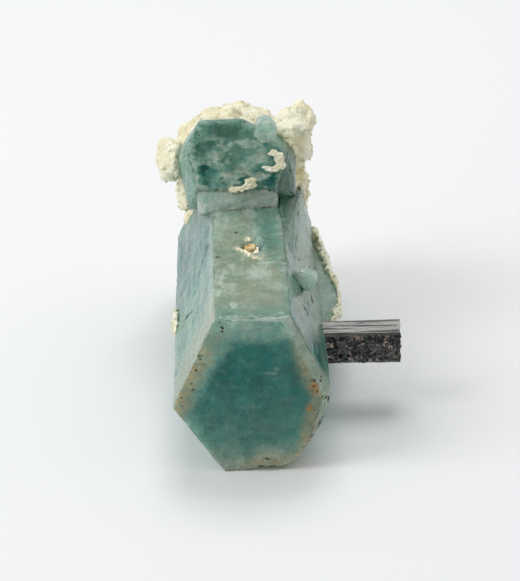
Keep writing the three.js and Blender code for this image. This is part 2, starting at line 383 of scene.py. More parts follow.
@dataclass
class FacetMesh:
    """A faceted body re-meshed with small even triangles that remember their facet."""

    ROW: ClassVar[float] = 0.866  # between rows of new vertices, as a share of their spacing
    SHAKE: ClassVar[float] = 0.22  # how far they are shifted at random, likewise
    CLEAR: ClassVar[float] = 0.55  # how far they keep from the facet's rim, likewise
    GIVE: ClassVar[float] = 0.12  # how far facets yield where they meet; more is calmer

    vertices: np.ndarray
    triangles: list[list[int]]
    facets_of_vertex: list[tuple[int, ...]]
    normals: np.ndarray
    sides: list[Side]
    edges: list[np.ndarray]  # of each facet, the sharp edges round it, each as two places
    rim: np.ndarray = field(init=False)  # how far each vertex is from a sharp edge

    def __post_init__(self) -> None:
        """Measures how far the vertices are from the sharp edges."""
        self.rim = np.full(len(self.vertices), np.inf)
        for facet, members in self.members().items():
            for a, b in self.edges[facet]:
                away = segment_distance(self.vertices[members], a, b)
                self.rim[members] = np.minimum(self.rim[members], away)

    def members(self) -> dict[int, list[int]]:
        """The vertices that touch each facet."""
        touching: dict[int, list[int]] = {}
        for vertex, facets in enumerate(self.facets_of_vertex):
            for facet in facets:
                touching.setdefault(facet, []).append(vertex)
        return touching

    @classmethod
    def from_object(cls, piece: bpy.types.Object, side_of: Callable[[np.ndarray, np.ndarray], Side],
                    seed: int) -> "FacetMesh":
        """Re-meshes an object's flat faces.

        Args:
            piece: an object with flat faces.
            side_of: says what a face is from its middle and normal.
            seed: of the small shifts that keep the triangles from lining up.

        Returns:
            The fine mesh. Neighbouring facets share the vertices along their edge.
        """
        rng = np.random.default_rng(seed)
        body = bmesh.new()
        body.from_mesh(piece.data)
        bmesh.ops.remove_doubles(body, verts=body.verts, dist=SAME_PLACE)
        bmesh.ops.dissolve_limit(body, angle_limit=SAME_PLANE, verts=body.verts, edges=body.edges)
        for table in (body.verts, body.edges, body.faces):
            table.ensure_lookup_table()
            table.index_update()
        sides = [side_of(np.array(f.calc_center_median()), np.array(f.normal)) for f in body.faces]
        points = [np.array(v.co) for v in body.verts]
        owners: list[set[int]] = [set() for _ in points]
        between: dict[int, list[int]] = {}
        sharp: list[list[np.ndarray]] = [[] for _ in body.faces]
        for edge in body.edges:
            step = min(sides[f.index].spacing for f in edge.link_faces)
            count = max(1, round(edge.calc_length() / step))
            a, b = points[edge.verts[0].index], points[edge.verts[1].index]
            between[edge.index] = list(range(len(points), len(points) + count - 1))
            points += [a + (b - a) * i / count for i in range(1, count)]
            owners += [set() for _ in range(count - 1)]
            if edge.is_convex and edge.calc_face_angle(0.0) > SHARP_EDGE:
                for face in edge.link_faces:
                    sharp[face.index].append(np.array((a, b)))
        triangles: list[list[int]] = []
        for face in body.faces:
            rim = cls._rim(face, between)
            for i in rim:
                owners[i].add(face.index)
            size = sides[face.index].spacing
            inner, tris = cls._fill(face, np.array([points[i] for i in rim]), size, rng)
            index = rim + list(range(len(points), len(points) + len(inner)))
            points += list(inner)
            owners += [{face.index} for _ in inner]
            triangles += [[index[i] for i in t] for t in tris]
        made = cls(np.array(points), triangles, [tuple(sorted(o)) for o in owners],
                   np.array([f.normal for f in body.faces]), sides,
                   [np.array(s).reshape(-1, 2, 3) for s in sharp])
        body.free()
        return made

    @staticmethod
    def _rim(face: bmesh.types.BMFace, between: dict[int, list[int]]) -> list[int]:
        """The vertices round a face, with those along its edges, in order."""
        rim: list[int] = []
        for loop in face.loops:
            rim.append(loop.vert.index)
            along = between[loop.edge.index]
            rim += along if loop.edge.verts[0] == loop.vert else along[::-1]
        return rim

    @classmethod
    def _fill(cls, face: bmesh.types.BMFace, rim: np.ndarray, size: float,
              rng: np.random.Generator) -> tuple[np.ndarray, list[list[int]]]:
        """Fills a flat face with small triangles.

        Args:
            face: the face.
            rim: the places round it.
            size: how far apart the new vertices are.
            rng: makes their small shifts.

        Returns:
            The new places inside, and triangles that count the rim first and then those.
        """
        u = rim[1] - rim[0]
        u /= np.linalg.norm(u)
        w = np.cross(np.array(face.normal), u)
        flat = np.stack(((rim - rim[0]) @ u, (rim - rim[0]) @ w), 1)
        low, high = flat.min(0), flat.max(0)
        rows = []
        for i, y in enumerate(np.arange(low[1] + size / 2, high[1], size * cls.ROW)):
            across = np.arange(low[0] + (i % 2) * size / 2, high[0], size)
            rows.append(np.stack((across, np.full(len(across), y)), 1))
        lattice = np.concatenate(rows) if rows else np.empty((0, 2))
        lattice = lattice + rng.uniform(-cls.SHAKE, cls.SHAKE, lattice.shape) * size
        inside, nearest = within(flat, lattice)
        lattice = lattice[inside & (nearest > cls.CLEAR * size)]
        every = [Vector(p) for p in np.concatenate((flat, lattice))]
        out = delaunay_2d_cdt(every, [], [list(range(len(flat)))], 1, 1e-7, True)
        source = [ids[0] for ids in out[3]]
        tris = []
        for t in out[2]:
            p, q, r = (out[0][i] for i in t)
            ids = [source[i] for i in t]
            tris.append(ids if (q - p).cross(r - p) > 0 else ids[::-1])
        places = rim[0] + np.outer(lattice[:, 0], u) + np.outer(lattice[:, 1], w)
        return places, tris

    def displace(self, relief: Callable[[Side, np.ndarray, np.ndarray], np.ndarray]) -> None:
        """Moves the vertices off their facets, so that facets still meet along their edges.

        Args:
            relief: gives the height over a kind of facet, in millimetres, from places on it and
                how far each of them is from a sharp edge.
        """
        heights: dict[tuple[int, int], float] = {}
        move = np.zeros_like(self.vertices)
        for facet, members in self.members().items():
            height = relief(self.sides[facet], self.vertices[members], self.rim[members])
            for vertex, h in zip(members, height):
                if len(self.facets_of_vertex[vertex]) == 1:
                    move[vertex] = self.normals[facet] * h
                else:
                    heights[vertex, facet] = h
        for vertex, facets in enumerate(self.facets_of_vertex):
            if len(facets) > 1:
                n = self.normals[list(facets)]
                h = np.array([heights[vertex, f] for f in facets])
                move[vertex] = n.T @ np.linalg.solve(n @ n.T + self.GIVE * np.eye(len(facets)), h)
        self.vertices = self.vertices + move

    def on(self, *sides: Side) -> np.ndarray:
        """Which vertices touch a facet of these kinds, as 0 or 1."""
        chosen = {i for i, side in enumerate(self.sides) if side in sides}
        return np.array([float(any(f in chosen for f in facets)) for facets in self.facets_of_vertex])

    def build(self, name: str) -> bpy.types.Object:
        """The mesh as a linked object."""
        return object_of(name, self.vertices, self.triangles)


# ---------------------------------------------------------------------------------------------
# Nodes and finishes
# ---------------------------------------------------------------------------------------------


class Nodes:
    """A node tree, with short ways to add to it."""

    def __init__(self, tree: bpy.types.NodeTree) -> None:
        """Takes the tree."""
        self.tree = tree

    def add(self, kind: str, inputs: dict | None = None, **settings: object) -> bpy.types.Node:
        """A new node with its settings and with what its sockets are fed."""
        node = self.tree.nodes.new(kind)
        for key, value in settings.items():
            setattr(node, key, value)
        for key, value in (inputs or {}).items():
            self.feed(node.inputs[key], value)
        return node

    def feed(self, socket: bpy.types.NodeSocket, value: object) -> None:
        """Links a socket to another, or sets its plain value."""
        if isinstance(value, bpy.types.NodeSocket):
            self.tree.links.new(value, socket)
        else:
            socket.default_value = value


class Shader(Nodes):
    """A material's node tree, with short ways to add the nodes that the finishes use."""

    def __init__(self, name: str) -> None:
        """Starts a material with one Principled shader."""
        self.material = bpy.data.materials.new(name)
        self.material.use_nodes = True
        super().__init__(self.material.node_tree)
        self.surface = self.tree.nodes["Principled BSDF"]
        self.output = self.tree.nodes["Material Output"]
        self.place = self.add("ShaderNodeTexCoord").outputs["Object"]

    def mask(self, name: str) -> bpy.types.NodeSocket:
        """A number stored for each vertex."""
        return self.add("ShaderNodeAttribute", attribute_name=name).outputs["Fac"]

    def math(self, operation: str, *values: object, clamp: bool = False) -> bpy.types.NodeSocket:
        """A sum or another step on numbers."""
        node = self.add("ShaderNodeMath", dict(enumerate(values)), operation=operation, use_clamp=clamp)
        return node.outputs[0]

    def times(self, first: object, second: object) -> bpy.types.NodeSocket:
        """Two numbers multiplied."""
        return self.math("MULTIPLY", first, second)

    def line(self, value: object, slope: float, base: float, clamp: bool = False) -> bpy.types.NodeSocket:
        """Slope times a number, plus base."""
        return self.math("ADD", self.times(value, slope), base, clamp=clamp)

    def step(self, value: bpy.types.NodeSocket, low: float, high: float) -> bpy.types.NodeSocket:
        """A smooth step from 0 at low to 1 at high. High may be the lower of the two."""
        flip = low > high
        inputs = {"Value": value, "From Min": min(low, high), "From Max": max(low, high),
                  "To Min": float(flip), "To Max": float(not flip)}
        return self.add("ShaderNodeMapRange", inputs, interpolation_type="SMOOTHSTEP").outputs["Result"]

    def stretched(self, stretch: Point) -> bpy.types.NodeSocket:
        """Object coordinates on which patterns come out longer along some axes."""
        inputs = {"Vector": self.place, "Scale": tuple(1.0 / s for s in stretch)}
        return self.add("ShaderNodeMapping", inputs).outputs["Vector"]

    def noise(self, size: float, detail: float = 4.0, rough: float = 0.55, twist: float = 0.0,
              stretch: Point = (1.0, 1.0, 1.0), shift: float = 0.0) -> bpy.types.NodeSocket:
        """Fractal noise of a size in millimetres, 0 to 1, longer along some axes."""
        inputs = {"Vector": self.stretched(stretch), "W": shift, "Scale": 1.0 / (size * MM),
                  "Detail": detail, "Roughness": rough, "Distortion": twist}
        return self.add("ShaderNodeTexNoise", inputs, noise_dimensions="4D").outputs["Fac"]

    def cells(self, size: float, stretch: Point = (1.0, 1.0, 1.0)) -> bpy.types.NodeSocket:
        """The distance to the nearest of scattered points, as a share of their size in millimetres."""
        inputs = {"Vector": self.stretched(stretch), "Scale": 1.0 / (size * MM)}
        return self.add("ShaderNodeTexVoronoi", inputs).outputs["Distance"]

    def mix(self, share: object, first: object, second: object, blend: str = "MIX") -> bpy.types.NodeSocket:
        """Two colours mixed. A colour is three numbers or a socket."""
        node = self.add("ShaderNodeMix", {0: share}, data_type="RGBA", blend_type=blend)
        for socket, value in ((node.inputs[6], first), (node.inputs[7], second)):
            self.feed(socket, value if isinstance(value, bpy.types.NodeSocket) else (*value, 1.0))
        return node.outputs[2]

    def bump(self, height: bpy.types.NodeSocket, depth: float,
             under: bpy.types.NodeSocket | None = None) -> bpy.types.NodeSocket:
        """A bump of a depth in millimetres, on top of another if one is given."""
        inputs = {"Distance": depth * MM, "Strength": 1.0, "Height": height}
        if under is not None:
            inputs["Normal"] = under
        return self.add("ShaderNodeBump", inputs).outputs["Normal"]

    def set(self, **sockets: object) -> None:
        """Sets or links sockets of the Principled shader, named with _ for each space."""
        for name, value in sockets.items():
            self.feed(self.surface.inputs[name.replace("_", " ")], value)


@dataclass(frozen=True)
class BerylFinish:
    """Translucent blue-green beryl: deep teal core, milky pale rim, brown stain and fine dirt, with painted
    highlights, painted glints and painted shade in places.
    """

    name: str = "beryl"
    pale: Colour = (0.31, 0.555, 0.425)
    blue: Colour = (0.13, 0.41, 0.36)
    teal: Colour = (0.002, 0.26, 0.215)
    deep: Colour = (0.0, 0.175, 0.15)
    sea: Colour = (0.14, 0.40, 0.32)
    # smoky grey-green, also used for painted shade
    smoke: Colour = (0.17, 0.31, 0.205)
    sand: Colour = (0.43, 0.53, 0.37)
    # milky white, also used for painted highlights and painted light
    milk: Colour = (0.78, 0.93, 0.79)
    # dark moss green, also used for painted shade
    moss: Colour = (0.07, 0.19, 0.125)
    warm: Colour = (0.60, 0.52, 0.30)
    iron: Colour = (0.60, 0.25, 0.03)
    dirt: Colour = (0.030, 0.024, 0.016)
    crust: Colour = (0.98, 0.93, 0.70)
    # the white of the painted glints
    glint: Colour = (0.90, 1.00, 0.95)
    see_through: float = 0.45
    ior: float = 1.577
    gloss: float = 0.10
    scattered: float = 0.5
    scatter_radii: Colour = (0.5, 1.0, 1.0)
    scatter_depth: float = 2.2  # millimetres
    absorbs: Colour = (0.05, 0.80, 0.68)
    density: float = 240.0

    def build(self) -> bpy.types.Material:
        """Makes the material."""
        s = Shader(self.name)
        milk, etched, crust = s.mask("milk"), s.mask("etched"), s.mask("crust")
        fine = s.noise(0.55, 5.0, 0.65, 0.3, stretch=(1.0, 1.8, 1.0), shift=2.0)
        speck = self.specks(s)
        colour = self.stained(s, self.grown(s, fine), fine, milk, etched)
        patchy = s.line(s.noise(1.3, 4.0, 0.6, 0.3, shift=11.0), 0.9, 0.55)
        grain = s.line(s.noise(0.3, 5.0, 0.75, 0.4, shift=12.0), 1.1, 0.45)
        colour = s.mix(1.0, colour, s.times(patchy, grain), "MULTIPLY")
        # painted highlights: white glints mixed into the colour, mostly on the etched end
        colour = s.mix(self.glints(s, etched), colour, self.glint)
        colour = s.mix(speck, colour, self.dirt)
        colour = s.mix(crust, colour, self.crust)
        rough = s.line(s.step(fine, 0.3, 0.8), 0.14, 0.17)
        rough = s.math("ADD", rough, s.times(s.math("MAXIMUM", milk, etched), 0.14))
        rough = s.math("ADD", rough, s.times(s.math("MAXIMUM", crust, speck), 0.35))
        grooves = s.noise(0.32, 4.0, 0.6, 0.0, stretch=(1.0, 14.0, 1.0), shift=1.0)
        pits = s.step(s.cells(0.5), 0.0, 0.25)
        bumps = s.bump(pits, 0.01, s.bump(fine, 0.05, s.bump(grooves, 0.03)))
        s.set(Base_Color=colour, Roughness=rough, Normal=bumps, IOR=self.ior, Specular_IOR_Level=self.gloss,
              Transmission_Weight=self.see_through, Subsurface_Weight=self.scattered,
              Subsurface_Radius=self.scatter_radii, Subsurface_Scale=self.scatter_depth * MM)
        soak = s.add("ShaderNodeVolumeAbsorption", {"Color": (*self.absorbs, 1.0), "Density": self.density})
        s.feed(s.output.inputs["Volume"], soak.outputs[0])
        return s.material

    def grown(self, s: Shader, fine: bpy.types.NodeSocket) -> bpy.types.NodeSocket:
        """The crystal's colour: pale streaks, sandy parts, the dark heart, and smoky and mossy parts that
        also paint in shade.
        """
        streak = s.noise(1.1, 5.0, 0.6, 0.2, stretch=(1.0, 9.0, 1.0), shift=4.0)
        cloud = s.noise(3.5, 6.0, 0.6, 0.4, stretch=(1.0, 2.4, 1.0))
        colour = s.mix(s.step(streak, 0.35, 0.68), self.pale, self.blue)
        colour = s.mix(s.times(s.step(cloud, 0.42, 0.66), 0.45), colour, self.sea)
        for name, tint in (("smoke", self.smoke), ("sand", self.sand), ("moss", self.moss)):
            colour = s.mix(s.mask(name), colour, tint)
        heart = s.mix(s.step(s.noise(2.4, 5.0, 0.6, 0.5, shift=7.0), 0.36, 0.62), self.teal, self.deep)
        heart = s.mix(s.times(s.step(fine, 0.5, 0.75), 0.35), heart, self.sea)
        return s.mix(s.mask("core"), colour, heart)

    def stained(self, s: Shader, colour: bpy.types.NodeSocket, fine: bpy.types.NodeSocket,
                milk: bpy.types.NodeSocket, etched: bpy.types.NodeSocket) -> bpy.types.NodeSocket:
        """Adds pale mottling to the etched end, then milky wisps with the painted highlights of the same
        mask, warm stain and iron spots.
        """
        mottle = s.step(s.noise(1.5, 7.0, 0.7, 0.9, (1.8, 1.0, 0.8), 9.0), 0.50, 0.64)
        colour = s.mix(s.times(s.times(etched, mottle), 0.55), colour, self.pale)
        wisp = s.step(s.noise(1.3, 8.0, 0.75, 1.2, stretch=(1.0, 2.6, 1.0), shift=3.0), 0.42, 0.62)
        colour = s.mix(s.times(milk, s.line(wisp, 0.5, 0.5)), colour, self.milk)
        blotch = s.line(s.step(fine, 0.36, 0.62), 0.5, 0.5)
        colour = s.mix(s.times(s.mask("warm"), blotch), colour, self.warm)
        spot = s.step(s.noise(0.8, 5.0, 0.7, 0.8, shift=5.0), 0.42, 0.58)
        return s.mix(s.times(s.mask("iron"), spot), colour, self.iron)

    @staticmethod
    def specks(s: Shader) -> bpy.types.NodeSocket:
        """Where fine dirt and the dark marks lie."""
        dirt = s.mask("dirt")
        size = s.times(s.step(s.noise(1.1, 3.0, shift=6.0), 0.40, 0.70), s.times(dirt, 0.55))
        speck = s.step(s.math("SUBTRACT", s.cells(0.5), size), 0.05, -0.05)
        speck = s.times(speck, s.step(dirt, 0.02, 0.15))
        return s.math("MAXIMUM", speck, s.mask("dark"), clamp=True)

    @staticmethod
    def glints(s: Shader, etched: bpy.types.NodeSocket) -> bpy.types.NodeSocket:
        """Where small painted highlights sit, white specks as if grains caught the light, mostly on the
        etched end.
        """
        glint = s.step(s.cells(0.62, stretch=(1.4, 1.0, 0.8)), 0.15, 0.07)
        glint = s.times(glint, s.step(s.noise(1.2, 3.0, shift=13.0), 0.50, 0.60))
        return s.times(glint, s.line(etched, 0.95, 0.04, clamp=True))


@dataclass(frozen=True)
class FeldsparFinish:
    """Cream granular feldspar, whiter on its grains and browner in its hollows."""

    name: str = "feldspar"
    cream: Colour = (0.80, 0.74, 0.49)
    white: Colour = (0.92, 0.90, 0.73)
    tan: Colour = (0.58, 0.48, 0.28)
    grey: Colour = (0.58, 0.60, 0.46)
    stain: float = 0.12
    ior: float = 1.53
    scattered: float = 0.15
    scatter_radii: Colour = (1.0, 0.85, 0.6)
    scatter_depth: float = 0.6  # millimetres

    def build(self) -> bpy.types.Material:
        """Makes the material."""
        s = Shader(self.name)
        cloud = s.noise(2.6, 5.0, 0.6, 0.4)
        fine = s.noise(0.5, 6.0, 0.7, 0.2, shift=3.0)
        grains = s.cells(0.45)
        colour = s.mix(s.step(cloud, 0.38, 0.62), self.cream, self.white)
        colour = s.mix(s.times(s.step(fine, 0.55, 0.72), self.stain), colour, self.tan)
        grey = s.times(s.step(s.noise(4.0, 4.0, 0.6, shift=8.0), 0.55, 0.70), 0.35)
        colour = s.mix(grey, colour, self.grey)
        colour = s.mix(s.times(s.step(grains, 0.45, 0.9), 0.1), colour, self.tan)
        s.set(Base_Color=colour, Roughness=s.line(fine, 0.3, 0.5),
              Normal=s.bump(fine, 0.03, s.bump(grains, -0.015)), IOR=self.ior,
              Subsurface_Weight=self.scattered, Subsurface_Radius=self.scatter_radii,
              Subsurface_Scale=self.scatter_depth * MM)
        return s.material


@dataclass(frozen=True)
class SchorlFinish:
    """Black tourmaline: mirror-like striated sides with a painted silver sheen on the upper face, duller
    where it is broken and granular, with painted pale pink sparkle there.
    """

    name: str = "schorl"
    black: Colour = (0.010, 0.010, 0.012)
    grey: Colour = (0.10, 0.10, 0.11)
    # the pale pink of the painted sparkle
    pink: Colour = (0.80, 0.64, 0.54)
    # the grey of the painted sheen
    painted_sheen: Colour = (0.15, 0.15, 0.12)
    ior: float = 1.64

    def build(self) -> bpy.types.Material:
        """Makes the material."""
        s = Shader(self.name)
        crumbly, bright = s.mask("crumbly"), s.mask("bright")
        streak = s.noise(0.35, 5.0, 0.6, stretch=(16.0, 1.0, 1.0))
        colour = s.mix(s.step(streak, 0.45, 0.7), self.black, self.grey)
        # painted sheen: the upper face streaked silver-grey as if it reflected the light
        colour = s.mix(s.times(bright, s.step(streak, 0.30, 0.62)), colour, self.painted_sheen)
        # painted sparkle: pale pink highlights on the crumbled part
        sparkle = s.step(s.noise(0.7, 6.0, 0.75, 0.6, shift=3.0), 0.53, 0.58)
        colour = s.mix(s.times(sparkle, s.times(crumbly, 0.8)), colour, self.pink)
        rough = s.math("ADD", s.times(crumbly, 0.25), s.times(s.step(streak, 0.3, 0.8), 0.22))
        bumps = s.bump(s.noise(0.2, 4.0, 0.7, shift=5.0), 0.02, s.bump(streak, 0.06))
        s.set(Base_Color=colour, Roughness=rough, Normal=bumps, IOR=self.ior)
        return s.material


@dataclass(frozen=True)
class FloorFinish:
    """Plain pale studio floor."""

    name: str = "studio_floor"
    pale: Colour = (0.86, 0.87, 0.88)

    def build(self) -> bpy.types.Material:
        """Makes the material."""
        s = Shader(self.name)
        s.set(Base_Color=(*self.pale, 1.0), Roughness=0.9)
        return s.material


# ---------------------------------------------------------------------------------------------
# Scattered grains
# ---------------------------------------------------------------------------------------------


@dataclass(frozen=True)
class GrainScatter:
    """Small angular grains set on a surface by Geometry Nodes, sizes in millimetres."""

    name: str
    per_area: float  # grains to a square millimetre
    smallest: float
    largest: float
    seed: int
    flatness: float = 0.6

    def tree(self) -> tuple[bpy.types.NodeTree, dict[str, str]]:
        """Builds the node tree.

        Returns:
            The tree, and the identifier of each named input.
        """
        tree = bpy.data.node_groups.new(self.name, "GeometryNodeTree")
        face = tree.interface
        face.new_socket("Geometry", in_out="INPUT", socket_type="NodeSocketGeometry")
        kinds = {"Per Area": "Float", "Smallest": "Float", "Largest": "Float", "Seed": "Int",
                 "Finish": "Material"}
        ids = {label: face.new_socket(label, in_out="INPUT", socket_type="NodeSocket" + kind).identifier
               for label, kind in kinds.items()}
        face.new_socket("Geometry", in_out="OUTPUT", socket_type="NodeSocketGeometry")
        nodes = Nodes(tree)
        given = nodes.add("NodeGroupInput").outputs
        share = nodes.add("GeometryNodeInputNamedAttribute", {"Name": "grains"}, data_type="FLOAT")
        amount = nodes.add("ShaderNodeMath", {0: given["Per Area"], 1: share.outputs["Attribute"]},
                           operation="MULTIPLY")
        spread = nodes.add("GeometryNodeDistributePointsOnFaces", {
            "Mesh": given["Geometry"], "Density": amount.outputs[0], "Seed": given["Seed"]})
        ball = nodes.add("GeometryNodeMeshIcoSphere", {"Radius": 0.5, "Subdivisions": 1})
        block = nodes.add("GeometryNodeMeshCube", {"Size": (1.0, 0.8, 0.7)})
        grains = nodes.add("GeometryNodeGeometryToInstance", {"Geometry": block.outputs["Mesh"]})
        nodes.feed(grains.inputs["Geometry"], ball.outputs["Mesh"])
        turn = self._random(nodes, "FLOAT_VECTOR", (0.0,) * 3, (math.tau,) * 3, given["Seed"], 23)
        size = self._random(nodes, "FLOAT", given["Smallest"], given["Largest"], given["Seed"], 11)
        shape = self._random(nodes, "FLOAT_VECTOR", (self.flatness,) * 3, (1.0,) * 3, given["Seed"], 30)
        scale = nodes.add("ShaderNodeVectorMath", {0: shape, "Scale": size}, operation="SCALE")
        place = nodes.add("GeometryNodeInstanceOnPoints", {
            "Points": spread.outputs["Points"], "Instance": grains.outputs[0], "Pick Instance": True,
            "Rotation": turn, "Scale": scale.outputs[0]})
        real = nodes.add("GeometryNodeRealizeInstances", {0: place.outputs[0]})
        join = nodes.add("GeometryNodeJoinGeometry", {0: given["Geometry"]})
        nodes.feed(join.inputs[0], real.outputs[0])
        paint = nodes.add("GeometryNodeSetMaterial", {
            "Geometry": join.outputs[0], "Material": given["Finish"]})
        nodes.add("NodeGroupOutput", {0: paint.outputs[0]})
        return tree, ids

    @staticmethod
    def _random(nodes: Nodes, kind: str, low: object, high: object, seed: bpy.types.NodeSocket,
                offset: int) -> bpy.types.NodeSocket:
        """A random value between two limits, from a seed moved by an offset."""
        moved = nodes.add("ShaderNodeMath", {0: seed, 1: float(offset)}, operation="ADD")
        vector = kind == "FLOAT_VECTOR"
        first = 0 if vector else 2
        node = nodes.add("FunctionNodeRandomValue", {first: low, first + 1: high, "Seed": moved.outputs[0]},
                         data_type=kind)
        return node.outputs[0 if vector else 1]

    def dress(self, piece: bpy.types.Object, finish: bpy.types.Material) -> bpy.types.Object:
        """Adds the grains to a piece where its grains mask is over 0, and makes it a plain mesh."""
        tree, ids = self.tree()
        change = piece.modifiers.new(self.name, "NODES")
        change.node_group = tree
        values = {"Per Area": self.per_area, "Smallest": self.smallest, "Largest": self.largest,
                  "Seed": self.seed, "Finish": finish}
        for label, value in values.items():
            change[ids[label]] = value
        return applied(piece)


# ---------------------------------------------------------------------------------------------
# Shapes
# ---------------------------------------------------------------------------------------------


def ring(outline: Outline, y: float) -> list[Point]:
    """The corners of a cross-section outline at one place along the c-axis."""
    return [(x, y, z) for x, z in outline]


def hexagon(x: float, z: float, radius: float, turn: float) -> list[tuple[float, float]]:
    """The corners of a regular hexagon outline."""
    angles = [turn + i * math.pi / 3 for i in range(6)]
    return [(x + radius * math.cos(a), z + radius * math.sin(a)) for a in angles]


def blob(points: np.ndarray, centre: Point, radii: Point, soft: float = 0.5) -> np.ndarray:
    """1 near a centre, fading to 0 at an ellipsoid round it.

    Args:
        points: n by 3 places.
        centre: the middle of the ellipsoid.
        radii: its radii.
        soft: the share of the radii over which it fades.

    Returns:
        One value for each point.
    """
    away = np.linalg.norm((points - np.array(centre)) / np.array(radii), axis=1)
    return smooth(1.0, 1.0 - soft, away)


@dataclass(frozen=True)
class Lump:
    """A rough rounded lump: a sphere scaled to its radii, with long bumps."""

    centre: Point
    radii: Point
    phase: float
    bumps: float = 0.09

    def build(self, name: str, detail: int = 4) -> bpy.types.Object:
        """The lump as a closed object."""
        body = bmesh.new()
        bmesh.ops.create_icosphere(body, subdivisions=detail, radius=1.0)
        for vert in body.verts:
            x, y, z = vert.co
            wave = (math.sin(3.1 * x + 2.3 * y + self.phase) + math.sin(4.7 * z - 3.9 * y + 2 * self.phase)
                    + 0.6 * math.sin(7.3 * x - 5.1 * z + 3 * self.phase))
            reach = 1 + self.bumps * wave / 1.6
            vert.co = [c + p * r * reach for c, p, r in zip(self.centre, (x, y, z), self.radii)]
        return object_from(name, body)


@dataclass(frozen=True)
class ChippedRim:
    """A chipped rim round a face at y = 0. Outside its outline the body is broken back in y."""

    outline: Outline
    steepness: float = 4.5
    roughness: float = 0.3
    reach: float = 8.0  # how far behind the face it goes
    margin: float = 0.03  # how far outside the outline it starts

    def carve(self, points: np.ndarray) -> tuple[np.ndarray, np.ndarray]:
        """Moves the points in front of the break onto it.

        Args:
            points: n by 3 places.

        Returns:
            The moved points, and how far each was moved.
        """
        near = points[:, 1] < self.reach
        inside, outside = within(np.array(self.outline), points[near][:, [0, 2]])
        outside[inside] = 0.0
        rough = 1 + self.roughness * fractal(points[near] * np.array((1, 0, 1)), 0.9, 4, 30.0)
        depth = np.zeros(len(points))
        depth[near] = self.steepness * np.maximum(outside - self.margin, 0.0) * rough
        cut = np.maximum(depth - points[:, 1], 0.0) * (depth > 0)
        moved = points.copy()
        moved[:, 1] += cut
        return moved, cut


@dataclass(frozen=True)
class Patch:
    """A soft patch of one of the masks on one side: its middle, its radii and how strong it is."""

    mask: str
    side: Side
    middle: Point
    radii: Point
    strength: float
    soft: float = 0.8
    DEPTH: ClassVar[float] = 3.0  # how far patches on the end faces reach along the c-axis

    @classmethod
    def end(cls, mask: str, x: float, z: float, wide: float, high: float, strength: float) -> "Patch":
        """One on the clean end face."""
        return cls(mask, Side.END, (x, 0.0, z), (wide, cls.DEPTH, high), strength)

    @classmethod
    def top(cls, mask: str, x: float, y: float, wide: float, long: float, strength: float,
            soft: float = 0.8) -> "Patch":
        """One on the top side."""
        return cls(mask, Side.TOP, (x, y, 17.0), (wide, long, 2.0), strength, soft)

    @classmethod
    def rear(cls, mask: str, x: float, z: float, wide: float, high: float, strength: float) -> "Patch":
        """One on the rear crystal's end face."""
        return cls(mask, Side.REAR_END, (x, 33.6, z), (wide, cls.DEPTH, high), strength)


@dataclass(frozen=True)
class Scallop:
    """A small shell-shaped chip, hollowed by a ball whose middle is outside the body."""

    middle: Point
    radius: float

    def carve(self, points: np.ndarray) -> tuple[np.ndarray, np.ndarray]:
        """Moves the points inside the ball onto it.

        Args:
            points: n by 3 places.

        Returns:
            The moved points, and how far each was moved.
        """
        away = points - np.array(self.middle)
        reach = np.maximum(np.linalg.norm(away, axis=1), 1e-6)
        near = reach < self.radius * 1.3
        radius = np.full(len(points), self.radius)
        radius[near] *= 1 + 0.12 * fractal(points[near], 0.7, 3, self.radius)
        cut = np.where(near, np.maximum(radius - reach, 0.0), 0.0)
        return points + away * (cut / reach)[:, None], cut


# ---------------------------------------------------------------------------------------------
# Beryl
# ---------------------------------------------------------------------------------------------


@dataclass
class ConvexBody:
    """A convex crystal: the corners of its hull and what it is called."""

    name: str
    points: Sequence[Point]

    def build(self, grow: float = 0.0) -> bpy.types.Object:
        """The crystal as an object, swollen by grow on every side."""
        return convex(self.name, self.points, grow)

    def planes(self) -> tuple[np.ndarray, np.ndarray]:
        """The outward normals of its facets and their distances from the origin."""
        piece = self.build()
        normals = np.array([p.normal for p in piece.data.polygons])
        offsets = np.array([p.center @ p.normal for p in piece.data.polygons])
        discard([piece])
        return normals, offsets


